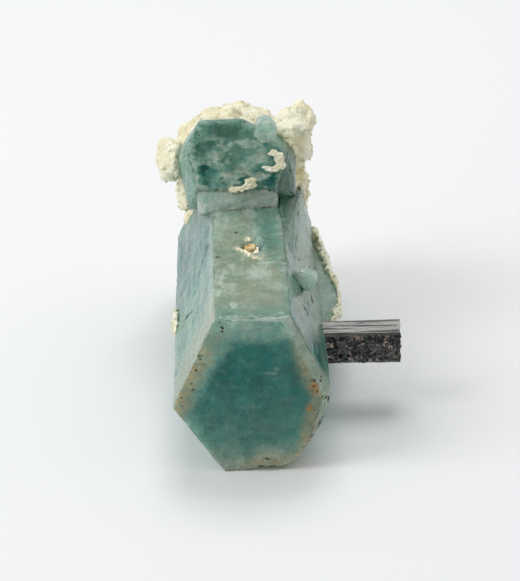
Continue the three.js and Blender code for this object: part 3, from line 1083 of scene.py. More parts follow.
@dataclass
class Beryl:
    """The aquamarine: a large prism with smaller crystals and a flange grown into it, as one body."""

    name: str = "beryl_crystals"
    corners: Outline = ((-8.15, 7.3), (-3.65, 17.0), (4.2, 17.0), (8.25, 8.6), (4.9, 0.0), (-3.0, 0.0))
    axis_height: float = 8.5
    length: float = 50.0
    end_bevel: float = 0.9
    rear_face: Outline = ((-6.2, 23.4), (-6.05, 25.1), (-4.9, 27.4), (-0.14, 27.5), (4.98, 23.5),
                          (3.8, 18.9), (2.6, 17.7), (-2.7, 18.1), (-5.4, 19.1))
    rear_shoulder: Outline = ((-7.5, 21.4), (-5.7, 23.2), (-3.6, 24.8), (0.2, 25.0), (6.0, 21.8),
                              (6.0, 16.6), (-6.4, 15.2))
    rear_places: tuple[float, ...] = (33.6, 37.6, 41.5)  # y of the end face, shoulder and far end
    rear_lip: tuple[Point, ...] = (
        (-4.6, 31.9, 16.8), (-0.9, 32.8, 16.9), (2.9, 33.1, 16.9), (3.9, 33.2, 16.9), (3.9, 33.65, 18.85),
        (2.6, 33.55, 17.8), (-2.7, 33.5, 18.2), (-5.5, 33.55, 19.15), (-5.4, 35.0, 15.5), (3.9, 35.0, 16.0))
    twin_middle: tuple[float, float] = (2.55, 25.8)
    twin_radius: float = 1.4
    twin_turn: float = 0.2
    twin_ends: tuple[float, float] = (33.2, 36.2)
    block_front: tuple[Point, ...] = ((5.36, 16.44, 15.7), (4.87, 15.9, 14.8), (6.44, 15.41, 13.46),
                                      (7.41, 15.73, 13.8), (7.57, 16.29, 14.83), (6.31, 16.45, 15.47))
    block_rear: tuple[Point, ...] = ((6.24, 18.5, 15.48), (6.75, 18.6, 15.58), (7.59, 18.3, 14.75),
                                     (7.3, 18.1, 13.3), (6.2, 17.6, 12.9), (5.2, 18.6, 14.2))
    right_step: tuple[Point, ...] = (
        (4.2, 24.0, 17.0), (5.3, 22.0, 14.7), (6.6, 39.5, 16.6), (4.0, 39.5, 17.6), (6.95, 47.0, 14.0),
        (8.2, 49.5, 8.8), (7.9, 37.0, 9.3), (3.0, 49.5, 16.0), (3.0, 30.0, 14.0))
    flange_rim: Outline = ((8.4, 48.5), (9.1, 42.0), (10.4, 31.5), (10.1, 27.5), (9.0, 21.0), (8.0, 15.0))
    flange_root: Outline = ((7.05, 8.5), (5.6, 4.0))  # x and z of its top and underside inside the prism
    flange_edge: tuple[float, float] = (5.6, 7.2)
    end_outline: Outline = (
        (-8.15, 7.3), (-7.3, 8.9), (-7.15, 9.5), (-6.6, 10.4), (-3.65, 17.0), (4.2, 17.0), (8.25, 8.6),
        (8.1, 7.8), (7.9, 6.1), (7.35, 5.3), (6.65, 4.5), (6.1, 3.7), (5.8, 3.05), (5.15, 2.4), (4.8, 1.6),
        (4.1, 0.95), (3.3, 0.5), (1.75, 0.42), (0.7, 0.64), (0.4, 0.32), (-1.4, 0.12), (-3.0, 0.0),
        (-4.6, 2.25))
    end_chips: tuple[int, int] = (7, 20)  # which corners of that outline, low on the right, are chipped
    core: Outline = ((-6.5, 6.6), (-5.0, 9.9), (-2.1, 14.7), (3.9, 14.9), (7.2, 9.9), (7.7, 8.0),
                     (4.9, 0.6), (-3.0, -1.4))  # dark heart of the clean end face
    pit_middle: tuple[float, float] = (0.6, 20.7)  # x and y of the cavity in the top side
    pit_radii: tuple[float, float] = (1.35, 2.2)
    crack: tuple[Point, ...] = (  # healed, on the upper left side
        (-4.3, 24.9, 15.6), (-4.8, 23.0, 14.5), (-5.3, 21.4, 13.4), (-5.2, 20.2, 13.6), (-5.9, 18.4, 12.1))
    dent: tuple[Point, ...] = ((-6.0, 14.9, 11.9), (-6.5, 16.2, 10.8), (-6.9, 17.6, 10.1))  # dark, short
    left_seam: tuple[Point, ...] = (  # where the rear crystal's left flank meets the large prism
        (-3.9, 32.0, 17.0), (-4.6, 32.0, 16.9), (-5.4, 33.6, 17.6), (-6.6, 35.5, 17.2))
    crust_line: tuple[Point, ...] = (  # cream crust before the cavity
        (-1.1, 20.2, 17.0), (-0.4, 18.9, 17.0), (0.2, 17.9, 17.0), (0.8, 17.3, 17.0), (1.4, 17.0, 17.0))
    hollows: tuple[tuple[Point, float], ...] = (  # in the rear crystal's end face, with their radii
        ((-4.4, 33.6, 21.6), 0.8), ((-3.9, 33.6, 20.0), 0.9), ((-1.0, 33.6, 21.0), 0.7))
    patches: tuple[Patch, ...] = (
        Patch.end("milk", 2.0, 10.95, 1.2, 0.3, 0.35),
        Patch.end("milk", 2.6, 11.4, 0.7, 0.25, 0.35),
        Patch.end("core", 0.8, 15.9, 1.9, 0.9, 0.3),
        Patch.end("moss", 5.0, 10.0, 1.6, 3.4, 0.75),
        Patch.end("iron", 6.35, 9.1, 0.75, 0.9, 1.6),
        Patch.end("iron", 5.8, 7.1, 0.65, 0.65, 1.3),
        Patch.end("iron", 0.7, 0.9, 1.1, 0.35, 0.35),
        Patch.end("iron", -5.9, 11.6, 0.4, 1.4, 0.6),
        Patch.end("dark", 6.5, 9.95, 0.75, 0.16, 1.0),
        Patch.end("dark", 6.35, 9.3, 0.2, 0.2, 1.0),
        Patch.end("dark", 6.1, 8.9, 0.17, 0.17, 1.0),
        Patch.end("dark", 6.65, 8.8, 0.17, 0.17, 1.0),
        Patch.end("dark", -5.2, 13.1, 0.55, 0.16, 1.0),
        Patch.end("dark", -6.06, 11.9, 0.2, 0.2, 1.0),
        Patch.end("dark", -5.97, 9.4, 0.2, 0.2, 1.0),
        Patch.end("dark", -7.2, 7.6, 0.17, 0.17, 1.0),
        Patch.end("dark", 1.4, 1.4, 0.6, 0.17, 1.0),
        Patch.top("milk", 0.6, 12.5, 1.9, 2.6, 0.7),
        Patch.top("milk", -3.3, 7.6, 0.6, 1.5, 0.8),
        Patch.top("milk", -1.6, 3.9, 0.5, 0.9, 1.2, 0.4),
        Patch.top("milk", 2.1, 15.8, 1.7, 0.6, 0.9),
        Patch.top("core", 2.5, 21.8, 1.8, 4.5, 0.3),
        Patch.top("core", 0.5, 19.4, 1.0, 1.0, 0.6),
        Patch.top("dark", 0.1, 19.6, 0.5, 0.6, 0.9),
        Patch.top("dark", -1.07, 25.0, 0.24, 0.5, 1.0, 0.5),
        Patch.top("dark", -3.2, 17.85, 0.2, 0.4, 1.0, 0.5),
        Patch("core", Side.UPPER_LEFT, (-7.0, 33.0, 9.8), (1.3, 8.0, 2.4), 0.4),
        Patch("core", Side.UPPER_LEFT, (-6.4, 20.0, 11.0), (0.8, 6.0, 1.6), 0.3),
        Patch("core", Side.UPPER_LEFT, (-7.8, 7.2, 8.05), (0.5, 0.55, 0.5), 0.9, 0.4),
        Patch("core", Side.UPPER_RIGHT, (5.9, 3.2, 13.2), (1.1, 6.5, 2.0), 0.75),
        Patch("core", Side.UPPER_RIGHT, (7.0, 4.5, 11.2), (1.1, 6.5, 2.4), 0.85),
        # painted shade: dark teal in the hollow at the block's left
        Patch("core", Side.UPPER_RIGHT, (4.8, 16.0, 15.8), (0.7, 2.6, 1.3), 1.1),
        Patch("core", Side.UPPER_RIGHT, (6.7, 13.4, 12.2), (0.9, 1.6, 0.9), 0.7),
        # painted shadow: a dark line in the gap at the block's left
        Patch("dark", Side.UPPER_RIGHT, (4.85, 15.4, 15.6), (0.22, 0.9, 0.3), 1.0, 0.5),
        Patch("dark", Side.UPPER_RIGHT, (5.93, 11.3, 13.4), (0.26, 0.8, 0.35), 1.2, 0.5),
        Patch("dark", Side.UPPER_RIGHT, (6.98, 19.2, 11.2), (0.25, 1.4, 0.35), 1.2, 0.5),
        Patch("dark", Side.UPPER_RIGHT, (6.93, 6.1, 11.3), (0.2, 0.6, 0.3), 1.0, 0.5),
        Patch("dark", Side.UPPER_RIGHT, (6.5, 15.6, 12.2), (0.2, 0.6, 0.3), 1.0, 0.5),
        Patch("milk", Side.UPPER_RIGHT, (5.9, 0.6, 13.4), (0.3, 1.4, 0.6), 0.9),
        Patch.rear("moss", -3.7, 24.5, 2.7, 0.4, 1.0),
        Patch.rear("moss", -1.9, 26.0, 3.2, 1.6, 0.8),
        Patch.rear("moss", -4.9, 23.5, 1.2, 1.2, 0.7),
        Patch.rear("milk", -3.5, 23.1, 1.2, 0.9, 0.9),
        Patch.rear("milk", -1.8, 22.4, 0.5, 0.45, 0.8),
        Patch.rear("milk", 2.1, 23.5, 0.9, 0.7, 0.7),
        Patch.rear("milk", -2.4, 19.2, 1.0, 0.6, 0.5),
        Patch.rear("milk", -3.0, 25.1, 1.9, 0.3, 0.5),
        Patch.rear("core", -4.2, 21.4, 0.7, 1.1, 1.2),
        Patch.rear("core", -4.3, 19.4, 0.8, 1.0, 1.0),
        Patch.rear("core", -3.4, 22.6, 0.4, 0.7, 0.9),
        Patch.rear("core", -0.5, 20.2, 1.1, 0.8, 1.0),
        Patch.rear("core", 0.2, 18.4, 1.0, 0.5, 0.8),
        Patch.rear("core", 2.8, 20.4, 1.5, 1.1, 0.8),
        Patch.rear("core", 1.3, 24.8, 1.3, 0.7, 0.7),
        # painted highlight on the block's upper right, painted shade on its left
        Patch("milk", Side.BLOCK, (7.1, 16.6, 14.9), (0.8, 1.6, 1.0), 1.4),
        Patch("core", Side.BLOCK, (5.3, 16.0, 14.4), (0.5, 1.0, 0.9), 0.5),
    )

    def __post_init__(self) -> None:
        """Works out the crystals and their facet planes."""
        self.bodies = [self.prism(), self.rear(), self.twin(), self.block(), self.flange(),
                       ConvexBody("right step", self.right_step), ConvexBody("lip", self.rear_lip)]
        self.planes = [body.planes() for body in self.bodies]

    def prism(self) -> ConvexBody:
        """The large prism, with a narrow bevel between its clean end and the upper right side."""
        left, top_left, top_right, right, low_right, low_left = self.corners
        inward = Vector((top_right[1] - right[1], right[0] - top_right[0])).normalized() * self.end_bevel
        end = [left, top_left, (top_right[0] - inward.x, top_right[1] - inward.y),
               (right[0] - inward.x, right[1] - inward.y), low_right, low_left]
        return ConvexBody("prism", ring(end, 0) + ring([top_right, right], self.end_bevel)
                          + ring(self.corners, self.length))

    def rear(self) -> ConvexBody:
        """The crystal above the prism's far half, with wide bevels round its end face."""
        face, shoulder, end = self.rear_places
        return ConvexBody("rear", ring(self.rear_face, face) + ring(self.rear_shoulder, shoulder)
                          + ring(self.rear_shoulder, end))

    def twin(self) -> ConvexBody:
        """The small clean crystal at the upper right of the rear one."""
        outline = hexagon(*self.twin_middle, self.twin_radius, self.twin_turn)
        return ConvexBody("twin", ring(outline, self.twin_ends[0]) + ring(outline, self.twin_ends[1]))

    def block(self) -> ConvexBody:
        """The short clear crystal that stands out of the upper right side."""
        return ConvexBody("block", [*self.block_front, *self.block_rear])

    def flange(self) -> ConvexBody:
        """The thin flange along the right edge, thickest where it joins the prism."""
        ends = (self.flange_rim[0][1], self.flange_rim[-1][1])
        points = [(x, y, z) for x, z in self.flange_root for y in ends]
        points += [(x, y, z) for x, y in self.flange_rim for z in self.flange_edge]
        return ConvexBody("flange", points)

    def depth(self, points: np.ndarray) -> np.ndarray:
        """How deep points lie inside the group, negative outside."""
        return np.max([np.min(d - points @ n.T, axis=1) for n, d in self.planes], axis=0)

    def side_of(self, middle: np.ndarray, normal: np.ndarray) -> Side:
        """Says what a facet is.

        Args:
            middle: a place on the facet.
            normal: its outward normal.

        Returns:
            The kind of facet.
        """
        misses = [np.min(np.abs(d - n @ middle) + 10 * (1 - n @ normal)) for n, d in self.planes]
        body = self.bodies[int(np.argmin(misses))].name
        x, y, z = normal
        if body == "prism":
            if abs(y) > 0.3:
                return Side.BACK if y > 0 else Side.END if y < -0.9 else Side.BEVEL
            if abs(z) > 0.9:
                return Side.TOP if z > 0 else Side.BASE
            if x < 0:
                return Side.UPPER_LEFT if z > 0 else Side.LOWER_LEFT
            return Side.UPPER_RIGHT if z > 0 else Side.LOWER_RIGHT
        if body == "right step":
            return Side.UPPER_RIGHT if z < 0.85 and y < 0.3 else Side.REAR_FLANK
        if body == "rear":
            return Side.REAR_END if y < -0.97 else Side.REAR_FLANK
        if body == "lip":
            return Side.REAR_LIP
        if body == "flange":
            return Side.FLANGE_TOP if z > 0 else Side.FLANGE_UNDER
        return Side.TWIN if body == "twin" else Side.BLOCK

    # Relief, in millimetres over each kind of facet.

    def relief(self, side: Side, p: np.ndarray, rim: np.ndarray) -> np.ndarray:
        """The height over a kind of facet.

        Args:
            side: the kind of facet.
            p: places on it.
            rim: how far each is from a sharp edge.

        Returns:
            The heights.
        """
        if side is Side.BASE:
            return np.zeros(len(p))
        if side is Side.BACK:
            return 0.3 * fractal(p, 3.0, 4)
        wear = 0.09 + 0.2 * np.maximum(fractal(p, 1.4, 4, 2.0) - 0.05, 0)
        height = -wear * (1 - smooth(0.0, 1.0 if side in (Side.END, Side.TOP) else 0.5, rim))
        special = {Side.END: self.end_relief, Side.BEVEL: self.end_relief, Side.TOP: self.top_relief,
                   Side.UPPER_LEFT: self.left_relief, Side.UPPER_RIGHT: self.right_relief,
                   Side.REAR_END: self.etched_relief, Side.LOWER_RIGHT: self.low_right_relief}
        return height + special.get(side, self.grown_relief)(p)

    @staticmethod
    def grown_relief(p: np.ndarray) -> np.ndarray:
        """A grown side: fine grooves along the c-axis over low waves."""
        grooves = 0.035 * fractal(p, 0.8, 3, 1.0, (1, 14, 1)) + 0.02 * fractal(p, 0.35, 3, 3.0, (1, 20, 1))
        return grooves + 0.06 * fractal(p, 3.2, 3, 4.0, (1, 4, 1)) + 0.012 * fractal(p, 0.6, 3, 5.0)

    @staticmethod
    def pits(p: np.ndarray, size: float, depth: float, share: float, seed: float) -> np.ndarray:
        """Small round pits, on about a share of the surface."""
        near, _ = cells(p, size, seed)
        where = smooth(1 - share, 1.15 - share, 0.5 + 0.5 * fractal(p, size * 4, 2, seed))
        return -depth * smooth(0.34, 0.12, near) * where

    def end_relief(self, p: np.ndarray) -> np.ndarray:
        """The clean end: nearly flat, with a few tiny pits."""
        waves = 0.05 * fractal(p, 4.0, 3, 6.0) + 0.018 * fractal(p, 0.9, 4, 7.0)
        return waves + self.pits(p, 1.3, 0.05, 0.12, 1.0)

    def top_relief(self, p: np.ndarray) -> np.ndarray:
        """The top side: grooves, shallow pits, a cavity and a chip."""
        x, y = p[:, 0], p[:, 1]
        height = self.grown_relief(p) + 0.05 * fractal(p, 1.1, 4, 8.0) + self.pits(p, 0.9, 0.08, 0.6, 2.0)
        jag = 0.3 * fractal(p, 1.0, 5, 10.0)
        (pit_x, pit_y), (wide, long) = self.pit_middle, self.pit_radii
        away = np.hypot((x - pit_x) / wide, (y - pit_y) / long) + jag
        height -= 1.0 * smooth(1.05, 0.5, away)
        height += 0.12 * smooth(0.95, 1.15, away) * smooth(1.75, 1.2, away)
        height -= 0.2 * blob(p, (-1.65, 3.34, 17.0), (0.5, 0.5, 2.0))
        return height

    def left_relief(self, p: np.ndarray) -> np.ndarray:
        """The upper left side: strong grooves, a healed crack and a dark dent."""
        height = self.grown_relief(p) + 0.06 * fractal(p, 1.1, 3, 11.0, (1, 9, 1))
        height -= 0.22 * smooth(0.28, 0.0, line_distance(p, self.crack) + 0.12 * fractal(p, 0.8, 3))
        height -= 0.25 * smooth(0.22, 0.0, line_distance(p, self.dent) + 0.05 * fractal(p, 0.5, 3))
        return height + self.pits(p, 1.0, 0.08, 0.35, 3.0)

    def right_relief(self, p: np.ndarray) -> np.ndarray:
        """The upper right side: grooves and a rougher patch in front of the block."""
        rough = blob(p, (6.3, 16.0, 12.6), (3.5, 8.0, 5.0), 0.7)
        height = self.grown_relief(p) + 0.05 * fractal(p, 0.9, 3, 12.0, (1, 9, 1))
        return height + rough * (0.1 * fractal(p, 1.2, 4, 13.0) + self.pits(p, 0.7, 0.2, 0.5, 4.0))

    def low_right_relief(self, p: np.ndarray) -> np.ndarray:
        """The lower right side, which swells a little near the clean end."""
        swell = smooth(1.6, 5.2, p[:, 2]) * smooth(8.4, 6.6, p[:, 2]) * smooth(9.0, 0.5, p[:, 1])
        return self.grown_relief(p) + 0.36 * swell

    def etched_relief(self, p: np.ndarray) -> np.ndarray:
        """The rear crystal's end: deeply etched, with angular hollows and knobs."""
        near, edge = cells(p, 1.5, 5.0)
        fine_near, _ = cells(p, 0.62, 6.0)
        height = 0.16 * fractal(p, 2.6, 4, 14.0) - 0.22 * smooth(0.5, 0.1, near)
        height -= 0.1 * smooth(0.5, 0.1, fine_near)
        height += 0.06 * fractal(p, 0.6, 4, 15.0) + 0.05 * smooth(0.0, 0.2, edge)
        for place, radius in self.hollows:
            height -= 0.4 * blob(p, place, (radius, 2.0, radius), 0.8)
        return height

    def breaks(self) -> list[ChippedRim | Scallop]:
        """The broken rim of the clean end and the chips, those listed before the scattered ones."""
        rng = np.random.default_rng(21)
        chips = [Scallop(middle, radius) for middle, radius in (
            ((-8.75, 20.9, 7.3), 1.05), ((-8.95, 13.95, 7.4), 1.1), ((-8.6, 12.6, 7.0), 0.65),
            ((-9.0, 3.4, 7.2), 1.05), ((4.1, 16.4, 17.1), 0.75))]
        bitten = self.end_outline[slice(*self.end_chips)]
        chips += [Scallop((x + outward, 0.2, z - outward), 0.55)
                  for (x, z), outward in zip(bitten, rng.uniform(0.12, 0.34, len(bitten)))]
        for corner, count in zip(self.corners, (9, 6, 6, 8, 8, 8)):
            for _ in range(count):
                radius = rng.uniform(0.25, 0.7)
                outward = np.array((corner[0], corner[1] - self.axis_height))
                outward = outward / np.linalg.norm(outward) * radius * rng.uniform(0.62, 0.85)
                place = (corner[0] + outward[0], rng.uniform(0.5, 32.0), corner[1] + outward[1])
                chips.append(Scallop(place, radius))
        return [ChippedRim(self.end_outline), *chips]

    # Masks that the finish reads.

    def masks(self, mesh: FacetMesh, cut: np.ndarray) -> dict[str, np.ndarray]:
        """Where the colours and marks lie, painted light and shade among them.

        Args:
            mesh: the re-meshed crystals before their relief.
            cut: how deep the chips went at each vertex.

        Returns:
            One mask by name, each 0 to 1 at every vertex.
        """
        p, rim = mesh.vertices, mesh.rim
        x, y, z = p.T
        end, top = mesh.on(Side.END, Side.BEVEL), mesh.on(Side.TOP)
        left, right = mesh.on(Side.UPPER_LEFT), mesh.on(Side.UPPER_RIGHT)
        rear_end, rear_flank = mesh.on(Side.REAR_END), mesh.on(Side.REAR_FLANK)
        twin, block = mesh.on(Side.TWIN), mesh.on(Side.BLOCK)
        lip, bevel = mesh.on(Side.REAR_LIP), mesh.on(Side.BEVEL)
        slow, fast = fractal(p, 3.0, 4, 20.0), fractal(p, 0.9, 4, 21.0)
        chipped = smooth(0.02, 0.15, cut)

        heart = smooth(-0.3, 1.1, inside_distance(self.core, np.stack((x, z), 1)) + 0.3 * fast + 0.2 * slow)
        core = end * heart * (0.44 + 0.40 * smooth(1.0, 9.5, z + slow)
                              + 0.25 * blob(p, (-0.9, 0.0, 12.0), (5.6, 3.0, 4.6), 0.9))
        core += top * 0.18 * smooth(16.0, 31.0, y) * smooth(0.2, 1.0, x + 0.3 * slow)
        streaks = fractal(p, 1.9, 5, 25.0, (1, 8, 1))
        core += left * (0.05 + 0.75 * smooth(18.0, 30.0, y)
                        + 0.5 * smooth(-0.05, 0.5, streaks) * smooth(5.0, 13.0, y))
        core += right * (0.12 + 0.3 * smooth(0.0, 0.5, streaks))
        core += rear_end * (0.08 + 0.6 * slow + 0.5 * fast + 0.3 * smooth(22.0, 19.0, z)) + twin * 0.05
        core += rear_flank * (0.10 + 0.2 * slow)

        edge = smooth(0.5, 0.05, rim)
        # pale along sharp edges: partly frosted edges, partly painted light coming through the thin edges
        milk = 0.35 * edge * (0.6 + 0.5 * fast) * (1 - 0.9 * np.maximum(top, smooth(15.0, 16.5, z) * end))
        lines = fractal(p, 0.8, 5, 26.0, (1.5, 1, 1))
        # paler near the top of the end face: partly its pale zone, partly painted light that evens its tone
        # with the top side
        milk += end * (0.6 * smooth(14.2, 16.4, z) * (0.7 + 0.6 * slow) + 0.12 * smooth(0.1, 0.7, lines)
                       + 0.55 * bevel)
        milk += rear_end * 0.95 * smooth(0.0, 0.4, fractal(p, 1.3, 5, 28.0, (1.6, 1, 0.8)))
        bands = fractal(p, 1.1, 5, 22.0, (1.0, 2.4, 1))
        milk += top * (0.75 * smooth(0.1, 0.5, bands) * smooth(5, 9, y) * smooth(20, 15, y)
                       + 0.45 * smooth(0.0, 0.5, fractal(p, 2.0, 5, 29.0, (1, 2.6, 1)))
                       + 0.45 * smooth(18.0, 26.0, y) * smooth(0.5, -2.5, x) + 0.12 * smooth(22.0, 28.0, y))
        upper_edge = ring(self.corners[1:2], 0) + ring(self.corners[1:2], 33)
        # painted highlight: a pale strip on the upper left side along its edge with the top
        milk += left * 0.55 * smooth(1.3, 0.5, line_distance(p, upper_edge) + 0.2 * fast)
        milk += left * (0.3 * smooth(0.0, 0.5, slow) + 0.1 * smooth(14.0, 3.0, y)) + twin * 1.3
        # the block pale all over, partly painted highlight on its facets
        milk += (block * (1.3 + 0.9 * fast) + end * 0.55 * smooth(3.8, 0.8, z + slow)
                 + rear_flank * (0.25 + 0.3 * slow) * smooth(4.0, 3.0, x))
        # pale lip under the rear crystal's end face: painted light that it catches from above and that lifts
        # the shade of its step
        milk += lip * (1.7 + 0.8 * fast) + rear_end * 0.5 * smooth(0.7, 0.1, rim + 0.4 * fast)
        milk += left * 0.5 * smooth(0.5, 0.1, line_distance(p, self.crack))
        milk += mesh.on(Side.FLANGE_TOP) * (0.5 + 0.3 * slow) + 0.3 * chipped
        # pale line along the left seam: painted light that lifts the shade in the crease
        milk += smooth(0.8, 0.1, line_distance(p, self.left_seam) + 0.3 * fast)

        left_rim = smooth(2.1, 0.6, self.upper_left_distance(p) + 0.4 * fast)
        warm = end * 0.95 * left_rim * smooth(17.0, 13.0, z + slow)
        warm += end * 0.5 * smooth(2.6, 0.8, z + 0.5 * fast) * smooth(-2.0, 1.0, x)
        warm += end * 0.3 * smooth(2.4, 0.6, z + 0.6 * slow)
        near_rim = smooth(1.8, 0.4, rim - 0.4 * smooth(9.0, 2.0, z))
        warm += (end - 0.6 * bevel) * 0.75 * near_rim * smooth(3.5, 5.5, x)
        warm += left * 0.3 * smooth(9.0, 1.0, y + 2.0 * slow)
        warm += right * 0.6 * blob(p, (5.4, 8.0, 14.5), (1.4, 8.0, 2.5), 0.8)
        warm += 0.7 * chipped * smooth(9.0, 6.0, z)
        sand = top * smooth(-1.0, 6.0, y) * smooth(34, 28, y + 4 * slow)
        sand *= 0.3 + 0.6 * smooth(1.2, 0.3, x + smooth(22.0, 12.0, y) * -3.0) + 0.3 * slow
        sand += left * 0.55 * smooth(11.0, 2.0, y + 2.0 * slow) + end * 0.6 * smooth(3.6, 1.0, z + 0.8 * slow)
        sand += rear_end * 0.5 * smooth(0.1, 0.6, slow) * smooth(20.0, 23.0, z)

        dirt = end * (smooth(1.3, 0.2, rim) * smooth(5.0, 7.0, x) + 0.55 * left_rim
                      + 0.6 * smooth(1.5, 0.4, z) * smooth(0.0, 2.0, x) + 0.14)
        dirt += top * 0.26 + left * 0.14 + right * 0.6 * blob(p, (6.6, 16.0, 11.3), (1.4, 8.0, 3.0), 0.8)
        dirt += 0.3 * rear_end + chipped * smooth(9.0, 6.0, z)
        dark = 0.9 * smooth(0.2, 0.02, line_distance(p, self.dent) + 0.06 * fast)
        # smoky grey-green on the upper right side, stronger towards the back: partly its tint, partly painted
        # shade of that side
        smoke = right * 0.85 * smooth(2.0, 9.0, y) + 0.3 * mesh.on(Side.FLANGE_TOP, Side.LOWER_RIGHT)
        # darker towards the front of the top side: painted shade that evens its tone with the end face
        smoke += top * 0.35 * smooth(4.0, 1.0, y)
        # painted shade: the rear crystal's right flank, which faces forward, darkened to moss green
        moss = rear_flank * 1.2 * smooth(3.4, 4.2, x) * smooth(24.0, 22.5, z)
        crust = smooth(0.42, 0.2, line_distance(p, self.crust_line) + 0.35 * fractal(p, 0.6, 5, 24.0))
        found = {"core": core, "milk": milk, "warm": warm, "sand": sand, "smoke": smoke, "moss": moss,
                 "iron": np.zeros(len(p)), "dirt": dirt, "dark": dark, "crust": top * 0.7 * crust,
                 "etched": rear_end + 0.4 * chipped}
        shaken = p + 0.16 * np.stack((fast, 2 * slow, fractal(p, 0.9, 4, 27.0)), 1)
        for patch in self.patches:
            where = blob(shaken, patch.middle, patch.radii, patch.soft)
            found[patch.mask] = found[patch.mask] + mesh.on(patch.side) * patch.strength * where
        found["core"] = found["core"] * (1 - 0.6 * chipped)
        return found

    def upper_left_distance(self, p: np.ndarray) -> np.ndarray:
        """How far places on the clean end are from its upper left edge."""
        a, b = np.array(self.corners[0]), np.array(self.corners[1])
        along = (b - a) / np.linalg.norm(b - a)
        return np.abs((p[:, [0, 2]] - a) @ np.array((-along[1], along[0])))

    def build(self, placement: Placement) -> bpy.types.Object:
        """Makes the finished piece."""
        bodies = [body.build() for body in self.bodies]
        joined = combine(bodies[0], bodies[1:], "UNION")
        mesh = FacetMesh.from_object(joined, self.side_of, 5)
        discard([joined])
        flat = mesh.vertices
        mesh.displace(self.relief)
        cut = np.zeros(len(flat))
        for chip in self.breaks():
            mesh.vertices, depth = chip.carve(mesh.vertices)
            cut = np.maximum(cut, depth)
        carved, mesh.vertices = mesh.vertices, flat
        masks = self.masks(mesh, cut)
        mesh.vertices = carved
        mesh.vertices[:, 2] = np.maximum(mesh.vertices[:, 2], 0.0)
        piece = mesh.build(self.name)
        for name, values in masks.items():
            set_mask(piece, name, values)
        piece.data.materials.append(BerylFinish().build())
        return finish_piece(piece, placement, "beryl", ["aquamarine"], sharp=30)


# ---------------------------------------------------------------------------------------------
# Feldspar
# ---------------------------------------------------------------------------------------------


@dataclass
class FeldsparMass:
    """A crumbly mass of feldspar: lumps melted together, roughened, and set with grains."""

    name: str
    node: str | None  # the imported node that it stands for, if it stands for one
    slot: str
    lumps: Sequence[Lump]
    finish: bpy.types.Material
    grains: GrainScatter
    voxel: float = 0.24
    knobs: float = 0.5  # how far the coarse knobs stand out
    seed: float = 0.0
    floor: float = 0.0  # nothing of it is below this
    overlap: float = 0.12  # how far it reaches into the crystals that it grows on

    def build(self, placement: Placement, beryl: Beryl | None) -> bpy.types.Object:
        """Makes the finished piece.

        Args:
            placement: where the specimen lies.
            beryl: the crystals that the mass grows on and is hollowed for, if it has to be.

        Returns:
            The piece.
        """
        detail = 4 if len(self.lumps) > 1 else 5
        parts = [lump.build(f"{self.name}_lump", detail) for lump in self.lumps]
        piece = parts[0]
        piece.name = self.name
        if len(parts) > 1:
            with bpy.context.temp_override(active_object=piece, selected_editable_objects=parts):
                bpy.ops.object.join()
        melt = piece.modifiers.new("melt", "REMESH")
        melt.mode = "VOXEL"
        melt.voxel_size = self.voxel
        applied(piece)
        self.roughen(piece)
        if beryl is not None:
            crystals = [body.build(-self.overlap) for body in beryl.bodies]
            combine(piece, crystals, "DIFFERENCE", "MANIFOLD")
        places = vertices_of(piece)
        places[:, 2] = np.maximum(places[:, 2], self.floor)
        move_vertices(piece, places)
        open_air = np.ones(len(places)) if beryl is None else smooth(0.0, -0.25, beryl.depth(places))
        clear_of_floor = smooth(self.floor + 0.1, self.floor + 1.2, places[:, 2])
        set_mask(piece, "grains", open_air * clear_of_floor)
        self.grains.dress(piece, self.finish)
        return finish_piece(piece, placement, self.slot, [self.node] if self.node else [], sharp=38)

    def roughen(self, piece: bpy.types.Object) -> None:
        """Moves the surface in and out in blocky knobs, hollows and fine grain."""
        places, normals = vertices_of(piece), normals_of(piece)
        near, edge = cells(places, 2.1, self.seed)
        near_fine, edge_fine = cells(places, 0.85, self.seed + 1)
        height = self.knobs * (0.45 - near + 0.5 * fractal(places, 3.0, 4, self.seed))
        height += (0.45 * self.knobs * (0.4 - near_fine)
                   + 0.22 * self.knobs * fractal(places, 0.6, 4, self.seed + 2))
        height -= 0.18 * self.knobs * smooth(0.1, 0.0, edge) + 0.05 * self.knobs * smooth(0.1, 0.0, edge_fine)
        move_vertices(piece, places + normals * height[:, None])

def crumbs(phase: float, *lumps: tuple[Point, Point]) -> tuple[Lump, ...]:
    """Knobby little lumps from their middles and radii, the first with this phase."""
    return tuple(Lump(middle, radii, phase + i, bumps=0.3) for i, (middle, radii) in enumerate(lumps))


